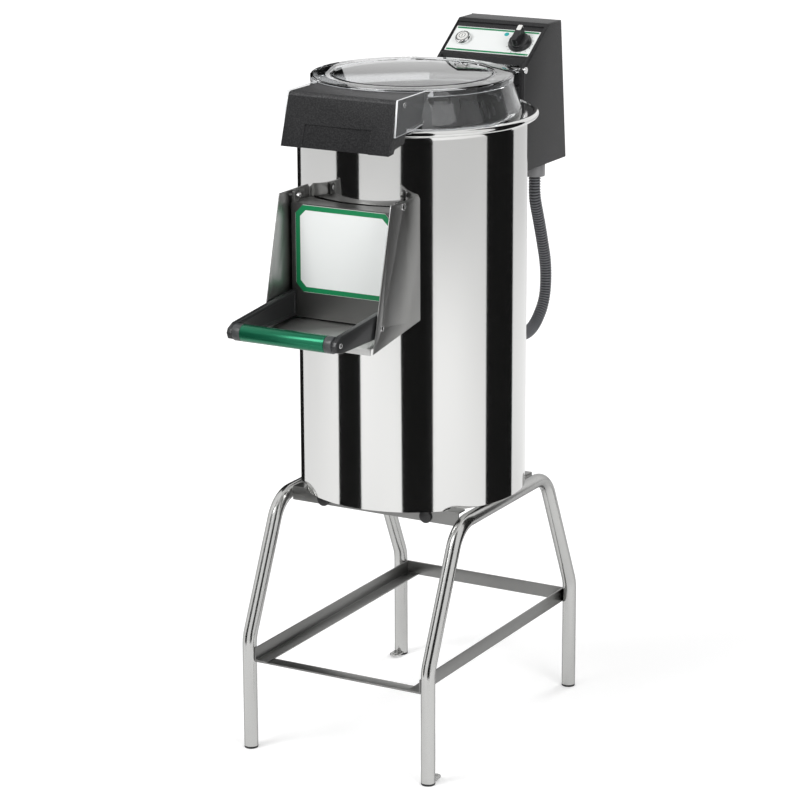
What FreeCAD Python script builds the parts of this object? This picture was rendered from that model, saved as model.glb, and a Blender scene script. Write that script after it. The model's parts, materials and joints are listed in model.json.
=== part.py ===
import FreeCAD, Part
import Sketcher
import math
import os
from types import SimpleNamespace
from FreeCAD import Placement, Rotation, Vector

# Electric potato peeler: a steel drum on a tube stand, with a clear hinged lid, a front
# discharge chute with a lifting door, and a control box with a timer behind the lid.
# Millimetres. Z is up, the chute faces -Y. Shapes are drawn about the drum axis and the
# floor, and every node then stands centre_shift behind that axis, so that the origin is
# the middle of the whole footprint.

DRIVING = {
    # drum
    "drum_radius": 200.0,
    "drum_wall": 1.5,
    "drum_bottom": 451.0,
    "drum_top": 1101.0,
    "opening_half_width": 88.0,
    "opening_bottom": 806.0,
    "opening_top": 972.0,
    "rim_overhang": 19.5,
    "rim_height": 19.0,
    "rim_seat_drop": 2.4,
    "rim_inset": 16.0,
    "liner_thickness": 4.0,
    "liner_gap": 0.3,
    "base_thickness": 3.0,
    "sump_level": 742.0,
    "sump_thickness": 2.5,
    # stand
    "tube_radius": 12.5,
    "tube_wall": 1.5,
    "leg_half_span": 179.4,
    "foot_reach": 273.0,
    "shoulder_reach": 166.0,
    "rail_drop": 13.0,
    "knee_level": 205.0,
    "shoulder_bend": 62.0,
    "knee_bend": 60.0,
    "plug_lip": 4.0,
    "plug_depth": 18.0,
    "lug_reach": 25.0,
    "lug_width": 20.0,
    "lug_thickness": 3.0,
    "lug_hole_radius": 4.0,
    "angle_leg": 25.0,
    "angle_thickness": 2.5,
    "rail_reach": 140.0,
    "shelf_level": 165.0,
    "strip_width": 25.0,
    "strip_thickness": 3.0,
    "rail_cap_radius": 12.0,
    "rail_cap_depth": 5.0,
    "rail_cap_offset": 103.0,
    # lid
    "lid_rise": 82.0,
    "lid_ridge_inset": 24.0,
    "lid_base_inset": 10.0,
    "lid_wall": 4.0,
    "lid_groove_inset": 34.0,
    "lid_gap": 0.3,
    "ear_half_span": 107.5,
    "ear_thickness": 3.5,
    "cover_reach": 38.0,
    "cover_slope": 29.5,
    "cover_drop": 92.5,
    "cover_wall": 3.0,
    "grip_half_width": 64.0,
    "grip_depth": 1.5,
    "lid_hinge_setback": 7.0,
    "lid_hinge_drop": 25.0,
    "lid_knuckle_radius": 8.0,
    "lid_rod_radius": 4.0,
    "lid_tongue_half_width": 78.0,
    "running_clearance": 0.08,
    # chute
    "chute_half_span": 108.5,
    "plate_thickness": 1.5,
    "chute_top": 1009.0,
    "chute_top_reach": 268.0,
    "chute_foot_reach": 329.5,
    "chute_foot_level": 769.0,
    "chute_rear_level": 793.0,
    "chute_lip_reach": 337.0,
    # door
    "door_half_width": 103.0,
    "door_face": 237.0,
    "door_foot_level": 791.0,
    "door_head_level": 989.0,
    "door_sheet": 2.0,
    "door_drum_gap": 5.0,
    "seal_thickness": 4.0,
    "door_hinge_setback": 10.5,
    "door_hinge_rise": 11.0,
    "door_pin_radius": 4.0,
    "label_half_width": 96.0,
    "label_low": 836.0,
    "label_high": 987.0,
    "label_corner": 15.0,
    "label_thickness": 0.8,
    "arm_thickness": 10.0,
    "arm_inner_face": 95.0,
    "handle_reach": 431.0,
    "handle_level": 807.0,
    "handle_radius": 14.5,
    "grip_tube_half_length": 80.0,
    # control box
    "box_half_width": 92.4,
    "box_gap": 40.0,
    "box_depth": 176.0,
    "box_rear_lean": 24.0,
    "box_bottom": 974.0,
    "box_rise": 46.0,
    "panel_run": 100.0,
    "panel_rise": 71.0,
    "box_wall": 3.0,
    "cheek_thickness": 8.0,
    "notch_depth": 24.0,
    "notch_drop": 30.0,
    "panel_sheet": 1.0,
    "panel_half_width": 85.0,
    "panel_from_head": 21.0,
    "panel_height": 63.0,
    "recess_depth": 3.0,
    "control_from_head": 54.0,
    "button_offset": 58.0,
    "bezel_radius": 15.0,
    "bezel_height": 9.0,
    "button_radius": 10.5,
    "button_travel": 3.0,
    "knob_offset": 57.0,
    "knob_radius": 22.0,
    "knob_height": 11.0,
    "knob_grip_height": 15.0,
    "bracket_half_width": 60.0,
    "bracket_low": 1000.0,
    "bracket_high": 1070.0,
    # conduit
    "hose_offset": 60.0,
    "hose_radius": 11.5,
    "hose_bore_radius": 8.5,
    "hose_rib_depth": 1.3,
    "hose_rib_pitch": 5.0,
    "box_gland_reach": 353.0,
    "drum_gland_level": 655.0,
    "gland_radius": 19.0,
    "gland_length": 28.0,
    # drive
    "shaft_radius": 12.5,
    "disc_gap": 6.2,
    "disc_level": 770.0,
    "disc_thickness": 12.0,
    "pulley_radius": 85.0,
    "motor_pulley_radius": 30.0,
    "pulley_level": 492.0,
    "pulley_width": 18.0,
    "motor_offset": 126.0,
    "motor_radius": 58.0,
    "motor_bottom": 520.0,
    "motor_length": 170.0,
    "motor_shaft_seat": 55.0,
    "bracket_front": 20.0,
    "bracket_lap": 32.0,
    "post_setback": 12.0,
    "post_margin": 7.0,
    "bracket_thickness": 6.0,
    "motor_shaft_radius": 9.5,
    "drain_radius": 25.0,
    "drain_wall": 2.0,
    "drain_offset": 95.0,
    "drain_reach": 65.0,
    "spout_length": 14.0,
    "inlet_offset": 112.0,
    "inlet_level": 1062.0,
    "inlet_radius": 10.0,
    "inlet_spigot": 40.0,
}

doc = FreeCAD.newDocument("potato_peeler")
sheet = doc.addObject("Spreadsheet::Sheet", "Sizes")
for row, (alias, value) in enumerate(DRIVING.items(), start=1):
    sheet.set("A%d" % row, alias)
    sheet.set("B%d" % row, str(value))
    sheet.setAlias("B%d" % row, alias)
doc.recompute()


class Size:
    """A length together with the expression that works it out from the sheet."""

    def __init__(self, value, text):
        self.value = float(value)
        self.text = text

    def __add__(self, other):
        other = as_size(other)
        return Size(self.value + other.value, "(%s + %s)" % (self.text, other.text))

    def __sub__(self, other):
        other = as_size(other)
        return Size(self.value - other.value, "(%s - %s)" % (self.text, other.text))

    def __mul__(self, other):
        other = as_size(other)
        return Size(self.value * other.value, "(%s * %s)" % (self.text, other.text))

    def __truediv__(self, other):
        other = as_size(other)
        return Size(self.value / other.value, "(%s / %s)" % (self.text, other.text))

    def __neg__(self):
        return Size(-self.value, "(0 - %s)" % self.text)

    def __radd__(self, other):
        return as_size(other) + self

    def __rsub__(self, other):
        return as_size(other) - self

    def __rmul__(self, other):
        return as_size(other) * self

    def __float__(self):
        return self.value


def as_size(number):
    if isinstance(number, Size):
        return number
    return Size(number, repr(float(number)))


def root_of(number):
    """The square root of an area."""
    return Size(math.sqrt(number.value), "sqrt(%s)" % number.text)


d = SimpleNamespace(**{alias: Size(sheet.get(alias), "Sizes." + alias) for alias in DRIVING})

# Places that follow from the driving lengths
d.rim_radius = d.drum_radius + d.rim_overhang
d.rim_inner_radius = d.drum_radius - d.rim_inset
d.lid_top = d.drum_top + d.lid_rise
d.rail_level = d.drum_bottom - d.rail_drop
d.box_top = d.lid_top + d.box_rise
d.lid_ridge_radius = d.drum_radius - d.lid_ridge_inset
d.lid_base_radius = d.drum_radius - d.lid_base_inset
d.lid_groove_radius = d.lid_ridge_radius - d.lid_groove_inset
d.cover_front_top = d.drum_radius + d.cover_reach
d.cover_front_foot = d.cover_front_top + d.cover_slope
d.cover_foot_level = d.lid_top - d.cover_drop
d.box_front = d.drum_radius + d.box_gap
d.box_rear_low = d.box_front + d.box_depth
d.box_rear_high = d.box_rear_low - d.box_rear_lean
d.panel_head_reach = d.box_front + d.panel_run
d.panel_foot_level = d.box_top - d.panel_rise
d.lid_hinge_reach = d.box_front + d.lid_hinge_setback
d.lid_hinge_level = d.lid_top - d.lid_hinge_drop
d.notch_floor = d.lid_hinge_level - d.notch_drop
d.door_hinge_reach = d.door_face - d.door_hinge_setback
d.door_hinge_level = d.door_head_level + d.door_hinge_rise
d.disc_radius = d.drum_radius - d.drum_wall - d.liner_gap - d.liner_thickness - d.disc_gap
v = SimpleNamespace(**{name: size.value for name, size in vars(d).items()})

# The handle reaches furthest forward and the foot of the box furthest back.
centre_shift = (d.handle_reach + d.handle_radius - d.box_rear_low) / 2
nodes = {}


def bind(thing, **properties):
    """Ties properties of an object to the sheet; a double underscore stands for a dot."""
    for name, size in properties.items():
        thing.setExpression(name.replace("__", "."), as_size(size).text)
    return thing


def keep(thing, node):
    thing.Label = node
    nodes[node] = thing
    return thing


# Bodies made from sketches

def new_body(node):
    return keep(doc.addObject("PartDesign::Body", node), node)


def sketch_on(body, role, start=0):
    """A sketch parallel to an origin plane, start away from it along the plane's normal."""
    sketch = body.newObject("Sketcher::SketchObject", body.Name + "_sketch")
    plane = next(feature for feature in body.Origin.OriginFeatures if feature.Role == role)
    sketch.AttachmentSupport = [(plane, "")]
    sketch.MapMode = "FlatFace"
    bind(sketch, AttachmentOffset__Base__z=start)
    return sketch


def fix_point(sketch, geometry, position, across, up):
    """Holds a sketch point at its two coordinates."""
    for kind, axis, size in (("DistanceX", -2, as_size(across)), ("DistanceY", -1, as_size(up))):
        if abs(size.value) < 1e-9:
            sketch.addConstraint(Sketcher.Constraint("PointOnObject", geometry, position, axis))
            continue
        index = sketch.addConstraint(Sketcher.Constraint(kind, geometry, position, size.value))
        sketch.setExpression("Constraints[%d]" % index, size.text)


def draw_polygon(sketch, corners):
    corners = [(as_size(across), as_size(up)) for across, up in corners]
    count = len(corners)
    for index in range(count):
        here = corners[index]
        after = corners[(index + 1) % count]
        line = Part.LineSegment(Vector(float(here[0]), float(here[1]), 0),
                                Vector(float(after[0]), float(after[1]), 0))
        sketch.addGeometry(line, False)
    for index in range(count):
        sketch.addConstraint(Sketcher.Constraint("Coincident", index, 2, (index + 1) % count, 1))
        fix_point(sketch, index, 1, *corners[index])


def draw_circle(sketch, across, up, radius):
    circle = Part.Circle(Vector(float(across), float(up), 0), Vector(0, 0, 1), float(radius))
    geometry = sketch.addGeometry(circle, False)
    fix_point(sketch, geometry, 3, across, up)
    index = sketch.addConstraint(Sketcher.Constraint("Radius", geometry, float(radius)))
    sketch.setExpression("Constraints[%d]" % index, as_size(radius).text)


def pad(body, sketch, length):
    feature = body.newObject("PartDesign::Pad", body.Name + "_pad")
    feature.Profile = sketch
    bind(feature, Length=length)
    return feature


def pocket(body, sketch, length):
    """Cuts from the sketch towards its plane's normal, as a pad would grow."""
    doc.recompute()
    before = body.Shape.Volume
    feature = body.newObject("PartDesign::Pocket", body.Name + "_pocket")
    feature.Profile = sketch
    feature.Reversed = True
    bind(feature, Length=length)
    doc.recompute()
    if not body.Shape.Volume < before:
        raise RuntimeError("a pocket in %s cuts nothing" % body.Label)
    return feature


def plate(node, role, corners, start, length):
    body = new_body(node)
    sketch = sketch_on(body, role, start)
    draw_polygon(sketch, corners)
    pad(body, sketch, length)
    return body


def rod(node, role, across, up, radius, start, length):
    body = new_body(node)
    sketch = sketch_on(body, role, start)
    draw_circle(sketch, across, up, radius)
    pad(body, sketch, length)
    return body


def cut_plate(body, role, corners, start, length):
    sketch = sketch_on(body, role, start)
    draw_polygon(sketch, corners)
    return pocket(body, sketch, length)


def cut_holes(body, role, circles, start, length):
    sketch = sketch_on(body, role, start)
    for across, up, radius in circles:
        draw_circle(sketch, across, up, radius)
    return pocket(body, sketch, length)


def turned(node, corners):
    """A body turned about Z from corners given as radius and height."""
    body = new_body(node)
    sketch = sketch_on(body, "XZ_Plane")
    draw_polygon(sketch, corners)
    feature = body.newObject("PartDesign::Revolution", node + "_turn")
    feature.Profile = sketch
    feature.ReferenceAxis = (sketch, ["V_Axis"])
    feature.Angle = 360
    return body


def round_edges(body, radius, wanted):
    """Fillets the edges of a body that the function wanted picks by their centre."""
    doc.recompute()
    solid = body.Tip
    names = []
    for index, edge in enumerate(solid.Shape.Edges, start=1):
        if wanted(edge):
            names.append("Edge%d" % index)
    rounding = body.newObject("PartDesign::Fillet", body.Name + "_round")
    rounding.Base = (solid, names)
    bind(rounding, Radius=radius)
    return rounding


# Primitives and booleans

def cylinder(name, radius, height, base, direction=Vector(0, 0, 1)):
    thing = doc.addObject("Part::Cylinder", name)
    thing.Placement = Placement(Vector(*[float(size) for size in base]),
                                Rotation(Vector(0, 0, 1), direction))
    bind(thing, Radius=radius, Height=height, Placement__Base__x=base[0],
         Placement__Base__y=base[1], Placement__Base__z=base[2])
    return thing


def block(name, low, high):
    thing = doc.addObject("Part::Box", name)
    low = [as_size(size) for size in low]
    high = [as_size(size) for size in high]
    bind(thing, Length=high[0] - low[0], Width=high[1] - low[1], Height=high[2] - low[2],
         Placement__Base__x=low[0], Placement__Base__y=low[1], Placement__Base__z=low[2])
    return thing


def cut(name, base, tool):
    thing = doc.addObject("Part::Cut", name)
    thing.Base = base
    thing.Tool = tool
    return thing


def common(name, base, tool):
    thing = doc.addObject("Part::Common", name)
    thing.Base = base
    thing.Tool = tool
    return thing


def fuse(name, things):
    thing = doc.addObject("Part::MultiFuse", name)
    thing.Shapes = things
    return thing


def group(name, things):
    """Identical pieces that stay separate solids in one node."""
    thing = doc.addObject("Part::Compound", name)
    thing.Links = things
    return thing


def feature(name, shape):
    thing = doc.addObject("Part::Feature", name)
    thing.Shape = shape
    return thing


# Stand

def bend_path(points, radii):
    """Straight runs joined by tangent arcs; radii holds one radius for each inner point."""
    edges = []
    start = points[0]
    for index in range(1, len(points) - 1):
        corner = points[index]
        towards = (points[index - 1] - corner).normalize()
        away = (points[index + 1] - corner).normalize()
        half_turn = (math.pi - towards.getAngle(away)) / 2
        reach = radii[index - 1] * math.tan(half_turn)
        first = corner + towards * reach
        last = corner + away * reach
        inward = (towards + away).normalize()
        middle = corner + inward * (radii[index - 1] / math.cos(half_turn) - radii[index - 1])
        if (first - start).Length > 1e-6:
            edges.append(Part.LineSegment(start, first).toShape())
        edges.append(Part.Arc(first, middle, last).toShape())
        start = last
    edges.append(Part.LineSegment(start, points[-1]).toShape())
    return Part.Wire(edges)


def swept(path, radius):
    first = path.OrderedEdges[0]
    direction = first.tangentAt(first.FirstParameter)
    ring = Part.Wire(Part.makeCircle(radius, first.valueAt(first.FirstParameter), direction))
    return path.makePipeShell([ring], True, False)


def stand_side(node, side):
    """One inverted U: two legs, two knees, two shoulders and the top run in one bent tube."""
    across = side * v.leg_half_span
    outline = ((-v.foot_reach, v.plug_lip), (-v.foot_reach, v.knee_level),
               (-v.shoulder_reach, v.rail_level), (v.shoulder_reach, v.rail_level),
               (v.foot_reach, v.knee_level), (v.foot_reach, v.plug_lip))
    points = [Vector(across, along, up) for along, up in outline]
    path = bend_path(points, [v.knee_bend, v.shoulder_bend, v.shoulder_bend, v.knee_bend])
    tube = swept(path, v.tube_radius).cut(swept(path, v.tube_radius - v.tube_wall))
    keep(feature(node, tube), node)


stand_side("stand_tube_left", -1)
stand_side("stand_tube_right", 1)

plug_parts = []
for side in (-1, 1):
    for end in (-1, 1):
        foot = (side * d.leg_half_span, end * d.foot_reach)
        lip = cylinder("plug_lip", d.tube_radius, d.plug_lip, (foot[0], foot[1], 0))
        stem = cylinder("plug_stem", d.tube_radius - d.tube_wall, d.plug_depth,
                        (foot[0], foot[1], d.plug_lip))
        plug_parts.append(fuse("end_plug", [lip, stem]))
keep(group("tube_end_plugs", plug_parts), "tube_end_plugs")

# A rounded lug points inwards from one front and one rear foot, at opposite corners.
lug_parts = []
for side, end in ((1, -1), (-1, 1)):
    centre_x = side * d.leg_half_span
    leg_y = end * d.foot_reach
    hole_y = end * (d.foot_reach - d.lug_reach)
    lug_top = d.plug_lip + d.lug_thickness
    tab = block("lug_tab", (centre_x - d.lug_width / 2, hole_y if end > 0 else leg_y, d.plug_lip),
                (centre_x + d.lug_width / 2, leg_y if end > 0 else hole_y, lug_top))
    nose = cylinder("lug_nose", d.lug_width / 2, d.lug_thickness, (centre_x, hole_y, d.plug_lip))
    bore = cylinder("lug_bore", d.lug_hole_radius, d.lug_thickness,
                    (centre_x, hole_y, d.plug_lip))
    leg = cylinder("lug_leg_space", d.tube_radius, d.lug_thickness, (centre_x, leg_y, d.plug_lip))
    lug_parts.append(cut("floor_lug", fuse("lug_blank", [tab, nose]),
                         fuse("lug_spaces", [bore, leg])))
keep(group("floor_lugs", lug_parts), "floor_lugs")

rail_top = d.drum_bottom
inner_face = d.leg_half_span - d.tube_radius


def angle_bar(node, role, corner, across, up, start, length):
    """An L bar with its outer corner at corner, its two legs running across and up."""
    leg, wall = d.angle_leg, d.angle_thickness
    outline = ((0, 0), (across * leg, 0), (across * leg, up * wall), (across * wall, up * wall),
               (across * wall, up * leg), (0, up * leg))
    return plate(node, role, [(corner[0] + a, corner[1] + b) for a, b in outline], start, length)


angle_bar("rail_front", "YZ_Plane", (-d.rail_reach, rail_top), 1, -1, -inner_face,
          2 * inner_face)
angle_bar("rail_rear", "YZ_Plane", (d.rail_reach, rail_top), -1, -1, -inner_face,
          2 * inner_face)
shelf_end = d.foot_reach + 4
for side, node in ((-1, "shelf_angle_left"), (1, "shelf_angle_right")):
    angle_bar(node, "XZ_Plane", (side * inner_face, d.shelf_level), -side, 1,
              -(shelf_end - d.strip_thickness), 2 * shelf_end - d.strip_thickness)
plate("shelf_strip_front", "YZ_Plane",
      ((-d.foot_reach, d.shelf_level - d.strip_thickness), (-d.foot_reach, d.shelf_level),
       (-d.foot_reach + d.strip_width, d.shelf_level),
       (-d.foot_reach + d.strip_width, d.shelf_level - d.strip_thickness)),
      -inner_face, 2 * inner_face)
plate("shelf_strip_rear", "YZ_Plane",
      ((shelf_end - d.strip_thickness, d.shelf_level), (shelf_end, d.shelf_level),
       (shelf_end, d.shelf_level + d.strip_width),
       (shelf_end - d.strip_thickness, d.shelf_level + d.strip_width)),
      -inner_face, 2 * inner_face)

cap_level = rail_top - d.angle_leg / 2 - d.angle_thickness
cap_parts = []
for side in (-1, 1):
    for end in (-1, 1):
        face = (side * d.rail_cap_offset, end * d.rail_reach, cap_level)
        cap_parts.append(cylinder("rail_cap", d.rail_cap_radius, d.rail_cap_depth, face,
                                  Vector(0, end, 0)))
keep(group("rail_caps", cap_parts), "rail_caps")

# Drum

shell = turned("drum_shell", ((d.drum_radius - d.drum_wall, d.drum_bottom),
                              (d.drum_radius, d.drum_bottom), (d.drum_radius, d.drum_top),
                              (d.drum_radius - d.drum_wall, d.drum_top)))
opening_start = d.drum_radius / 2


def discharge_opening(body):
    """The rectangular way out at the front, through a wall that stands round the drum axis."""
    cut_plate(body, "XZ_Plane",
              ((-d.opening_half_width, d.opening_bottom), (d.opening_half_width, d.opening_bottom),
               (d.opening_half_width, d.opening_top), (-d.opening_half_width, d.opening_top)),
              opening_start, d.drum_radius)


discharge_opening(shell)
gland_neck_radius = d.gland_radius - 4
cut_holes(shell, "XZ_Plane", ((d.hose_offset, d.drum_gland_level, gland_neck_radius),),
          -d.drum_radius, d.drum_radius / 2)
cut_holes(shell, "XZ_Plane", ((-d.inlet_offset, d.inlet_level, d.inlet_radius),),
          -d.drum_radius, d.drum_radius / 2)

rim_top = d.drum_top + d.rim_height
rim_seat = rim_top - d.rim_seat_drop
turned("drum_rim", ((d.drum_radius - d.drum_wall, d.drum_top), (d.drum_radius, d.drum_top),
                    (d.rim_radius - 2.5, d.drum_top + 5.5), (d.rim_radius, d.drum_top + 8),
                    (d.rim_radius, rim_top - 3), (d.rim_radius - 3, rim_top),
                    (d.rim_radius - 8, rim_top), (d.rim_radius - 10, rim_seat),
                    (d.rim_inner_radius, rim_seat), (d.rim_inner_radius, rim_seat - 4),
                    (d.drum_radius - d.drum_wall, rim_seat - 6)))

liner_outer = d.drum_radius - d.drum_wall - d.liner_gap
liner_inner = liner_outer - d.liner_thickness
liner_foot = d.sump_level + d.sump_thickness
liner = turned("abrasive_liner", ((liner_inner, liner_foot), (liner_outer, liner_foot),
                                  (liner_outer, d.drum_top - 4), (liner_inner, d.drum_top - 4)))
discharge_opening(liner)
cut_holes(liner, "XZ_Plane", ((-d.inlet_offset, d.inlet_level, d.inlet_radius + 1),),
          -d.drum_radius, d.drum_radius / 2)

base_top = d.drum_bottom + d.base_thickness
drain_centre = (-d.drain_offset, d.drain_reach)
base_plate = turned("drum_base_plate", ((d.shaft_radius + 20, d.drum_bottom),
                                        (d.drum_radius - d.drum_wall, d.drum_bottom),
                                        (d.drum_radius - d.drum_wall, base_top),
                                        (d.shaft_radius + 20, base_top)))
pipe_radius = d.drain_radius + 1.5
cut_holes(base_plate, "XY_Plane", ((drain_centre[0], drain_centre[1], pipe_radius),),
          d.drum_bottom, d.base_thickness)
housing_radius = d.shaft_radius + 22
sump = turned("chamber_floor", ((housing_radius - 8, d.sump_level),
                                (d.drum_radius - d.drum_wall, d.sump_level),
                                (d.drum_radius - d.drum_wall, d.sump_level + d.sump_thickness),
                                (housing_radius - 8, d.sump_level + d.sump_thickness)))
cut_holes(sump, "XY_Plane", ((drain_centre[0], drain_centre[1], pipe_radius),),
          d.sump_level, d.sump_thickness)
drain_top = d.sump_level + d.sump_thickness
spout_top = d.drum_bottom - 6
drain_foot = spout_top - d.spout_length


def stepped_pipe(node, role, across, up, wide, narrow, bore, start, step, end):
    """A pipe whose narrower spigot, from start to step, takes a hose up to the shoulder."""
    body = new_body(node)
    for radius, low, high in ((wide, step, end), (narrow, start, step)):
        sketch = sketch_on(body, role, low)
        draw_circle(sketch, across, up, radius)
        pad(body, sketch, high - low)
    cut_holes(body, role, ((across, up, bore),), start, end - start)
    return body


stepped_pipe("drain_pipe", "XY_Plane", drain_centre[0], drain_centre[1], pipe_radius,
             d.drain_radius, d.drain_radius - d.drain_wall, drain_foot, spout_top, drain_top)
inlet_root = -(root_of(liner_inner * liner_inner - d.inlet_offset * d.inlet_offset) - 4)
inlet_tip = -(d.drum_radius + 24)
stepped_pipe("water_inlet", "XZ_Plane", -d.inlet_offset, d.inlet_level, d.inlet_radius,
             d.inlet_radius - 0.5, d.inlet_radius - 3, inlet_tip, inlet_tip + d.inlet_spigot,
             inlet_root)

# Drive

housing_top = d.sump_level
housing_length = 90
housing_foot = housing_top - housing_length
bearing_outer = d.shaft_radius + 13.5
turned("bearing_housing", ((bearing_outer, housing_foot), (housing_radius, housing_foot),
                           (housing_radius, housing_top - 10), (housing_radius + 26, housing_top - 10),
                           (housing_radius + 26, housing_top), (bearing_outer, housing_top)))
bearing_width = 15
for node, low in (("upper_bearing", housing_top - bearing_width - 4), ("lower_bearing", housing_foot)):
    turned(node, ((d.shaft_radius + d.running_clearance, low), (bearing_outer, low),
                  (bearing_outer, low + bearing_width),
                  (d.shaft_radius + d.running_clearance, low + bearing_width)))
turned("shaft_seal", ((d.shaft_radius + d.running_clearance, housing_top - 4),
                      (bearing_outer, housing_top - 4), (bearing_outer, housing_top),
                      (housing_radius - 8, housing_top), (housing_radius - 8, housing_top + 8),
                      (d.shaft_radius + d.running_clearance, housing_top + 8)))
shaft_foot = d.pulley_level - d.pulley_width
turned("drive_shaft", ((0, shaft_foot), (d.shaft_radius, shaft_foot),
                       (d.shaft_radius, d.disc_level), (0, d.disc_level)))
disc_top = d.disc_level + d.disc_thickness


def abrasive_disc():
    """A flat disc with three low radial waves that tumble the load."""
    disc = turned("disc_blank", ((0, d.disc_level), (d.disc_radius, d.disc_level),
                                 (d.disc_radius, disc_top), (0, disc_top)))
    nodes.pop("disc_blank")
    waves = []
    for index in range(3):
        wave = doc.addObject("Part::Cylinder", "disc_wave")
        turn = Rotation(Vector(0, 0, 1), index * 120.0) * Rotation(Vector(0, 1, 0), 90)
        centre = turn.multVec(Vector(0, 0, 40))
        bind(wave, Radius=24, Height=d.disc_radius - 44)
        wave.Placement = Placement(centre + Vector(0, 0, float(disc_top) - 16), turn)
        waves.append(wave)
    trim = cylinder("disc_trim", d.disc_radius, 40, (0, 0, d.disc_level + 1))
    return fuse("abrasive_disc", [disc, common("disc_waves", fuse("disc_wave_set", waves), trim)])


keep(abrasive_disc(), "abrasive_disc")
turned("disc_cap", ((0, disc_top), (22, disc_top), (22, disc_top + 7), (16, disc_top + 12),
                    (0, disc_top + 15)))
pulley_half = d.pulley_width / 2


def pulley(node, radius, shaft_radius, across):
    """A V pulley pressed on its shaft, with its groove round the middle."""
    groove_foot = radius - 9
    body = turned(node, ((shaft_radius, -pulley_half), (radius, -pulley_half), (radius, -6),
                         (groove_foot, -4), (groove_foot, 4), (radius, 6),
                         (radius, pulley_half), (shaft_radius, pulley_half)))
    bind(body, Placement__Base__x=across, Placement__Base__z=d.pulley_level)
    return body


pulley("driven_pulley", d.pulley_radius, d.shaft_radius, 0)
pulley("motor_pulley", d.motor_pulley_radius, d.motor_shaft_radius, d.motor_offset)


def belt():
    """An open loop of V belt round both pulleys, a hair clear of their grooves."""
    gap = 0.3
    solids = []
    for grow in (-9 + gap, 0):
        large = v.pulley_radius + grow
        small = v.motor_pulley_radius + grow
        lean = math.acos((large - small) / v.motor_offset)
        start = Vector(large * math.cos(lean), large * math.sin(lean), 0)
        finish = Vector(v.motor_offset + small * math.cos(lean), small * math.sin(lean), 0)
        mirror_start = Vector(start.x, -start.y, 0)
        mirror_finish = Vector(finish.x, -finish.y, 0)
        wire = Part.Wire([Part.Arc(mirror_start, Vector(-large, 0, 0), start).toShape(),
                          Part.LineSegment(start, finish).toShape(),
                          Part.Arc(finish, Vector(v.motor_offset + small, 0, 0),
                                   mirror_finish).toShape(),
                          Part.LineSegment(mirror_finish, mirror_start).toShape()])
        solids.append(Part.Face(wire).extrude(Vector(0, 0, 7)))
    loop = solids[1].cut(solids[0])
    loop.translate(Vector(0, 0, v.pulley_level - 3.5))
    return loop


keep(feature("drive_belt", belt()), "drive_belt")
motor_top = d.motor_bottom + d.motor_length
motor_shaft_foot = d.pulley_level - pulley_half - 2
motor_barrel = cylinder("motor_barrel", d.motor_radius, d.motor_length,
                        (d.motor_offset, 0, d.motor_bottom))
motor_bore = cylinder("motor_bore", d.motor_shaft_radius + d.running_clearance, 60,
                      (d.motor_offset, 0, d.motor_bottom))
keep(cut("motor_body", motor_barrel, motor_bore), "motor_body")
rod("motor_shaft", "XY_Plane", d.motor_offset, 0, d.motor_shaft_radius, motor_shaft_foot,
    d.motor_bottom + d.motor_shaft_seat - motor_shaft_foot)
post_reach = d.pulley_radius + d.post_setback
plate_half = post_reach + d.post_margin
motor_plate = plate("motor_bracket", "XY_Plane",
                    ((-d.bracket_front, -plate_half), (d.motor_offset + d.bracket_lap, -plate_half),
                     (d.motor_offset + d.bracket_lap, plate_half), (-d.bracket_front, plate_half)),
                    d.motor_bottom - d.bracket_thickness, d.bracket_thickness)
cut_holes(motor_plate, "XY_Plane", ((0, 0, d.shaft_radius + 6),
                                    (d.motor_offset, 0, d.motor_shaft_radius + 4)),
          d.motor_bottom - d.bracket_thickness, d.bracket_thickness)
post_parts = []
for across in (as_size(0), d.motor_offset + 20):
    for end in (-1, 1):
        post_parts.append(cylinder("motor_post", 6, d.motor_bottom - d.bracket_thickness - base_top,
                                   (across, end * post_reach, base_top)))
keep(group("motor_bolts", post_parts), "motor_bolts")

# Lid

lid_foot = rim_seat + d.lid_gap
lid_step = d.lid_top - 13
lid_inner_top = d.lid_top - d.lid_wall


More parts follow.
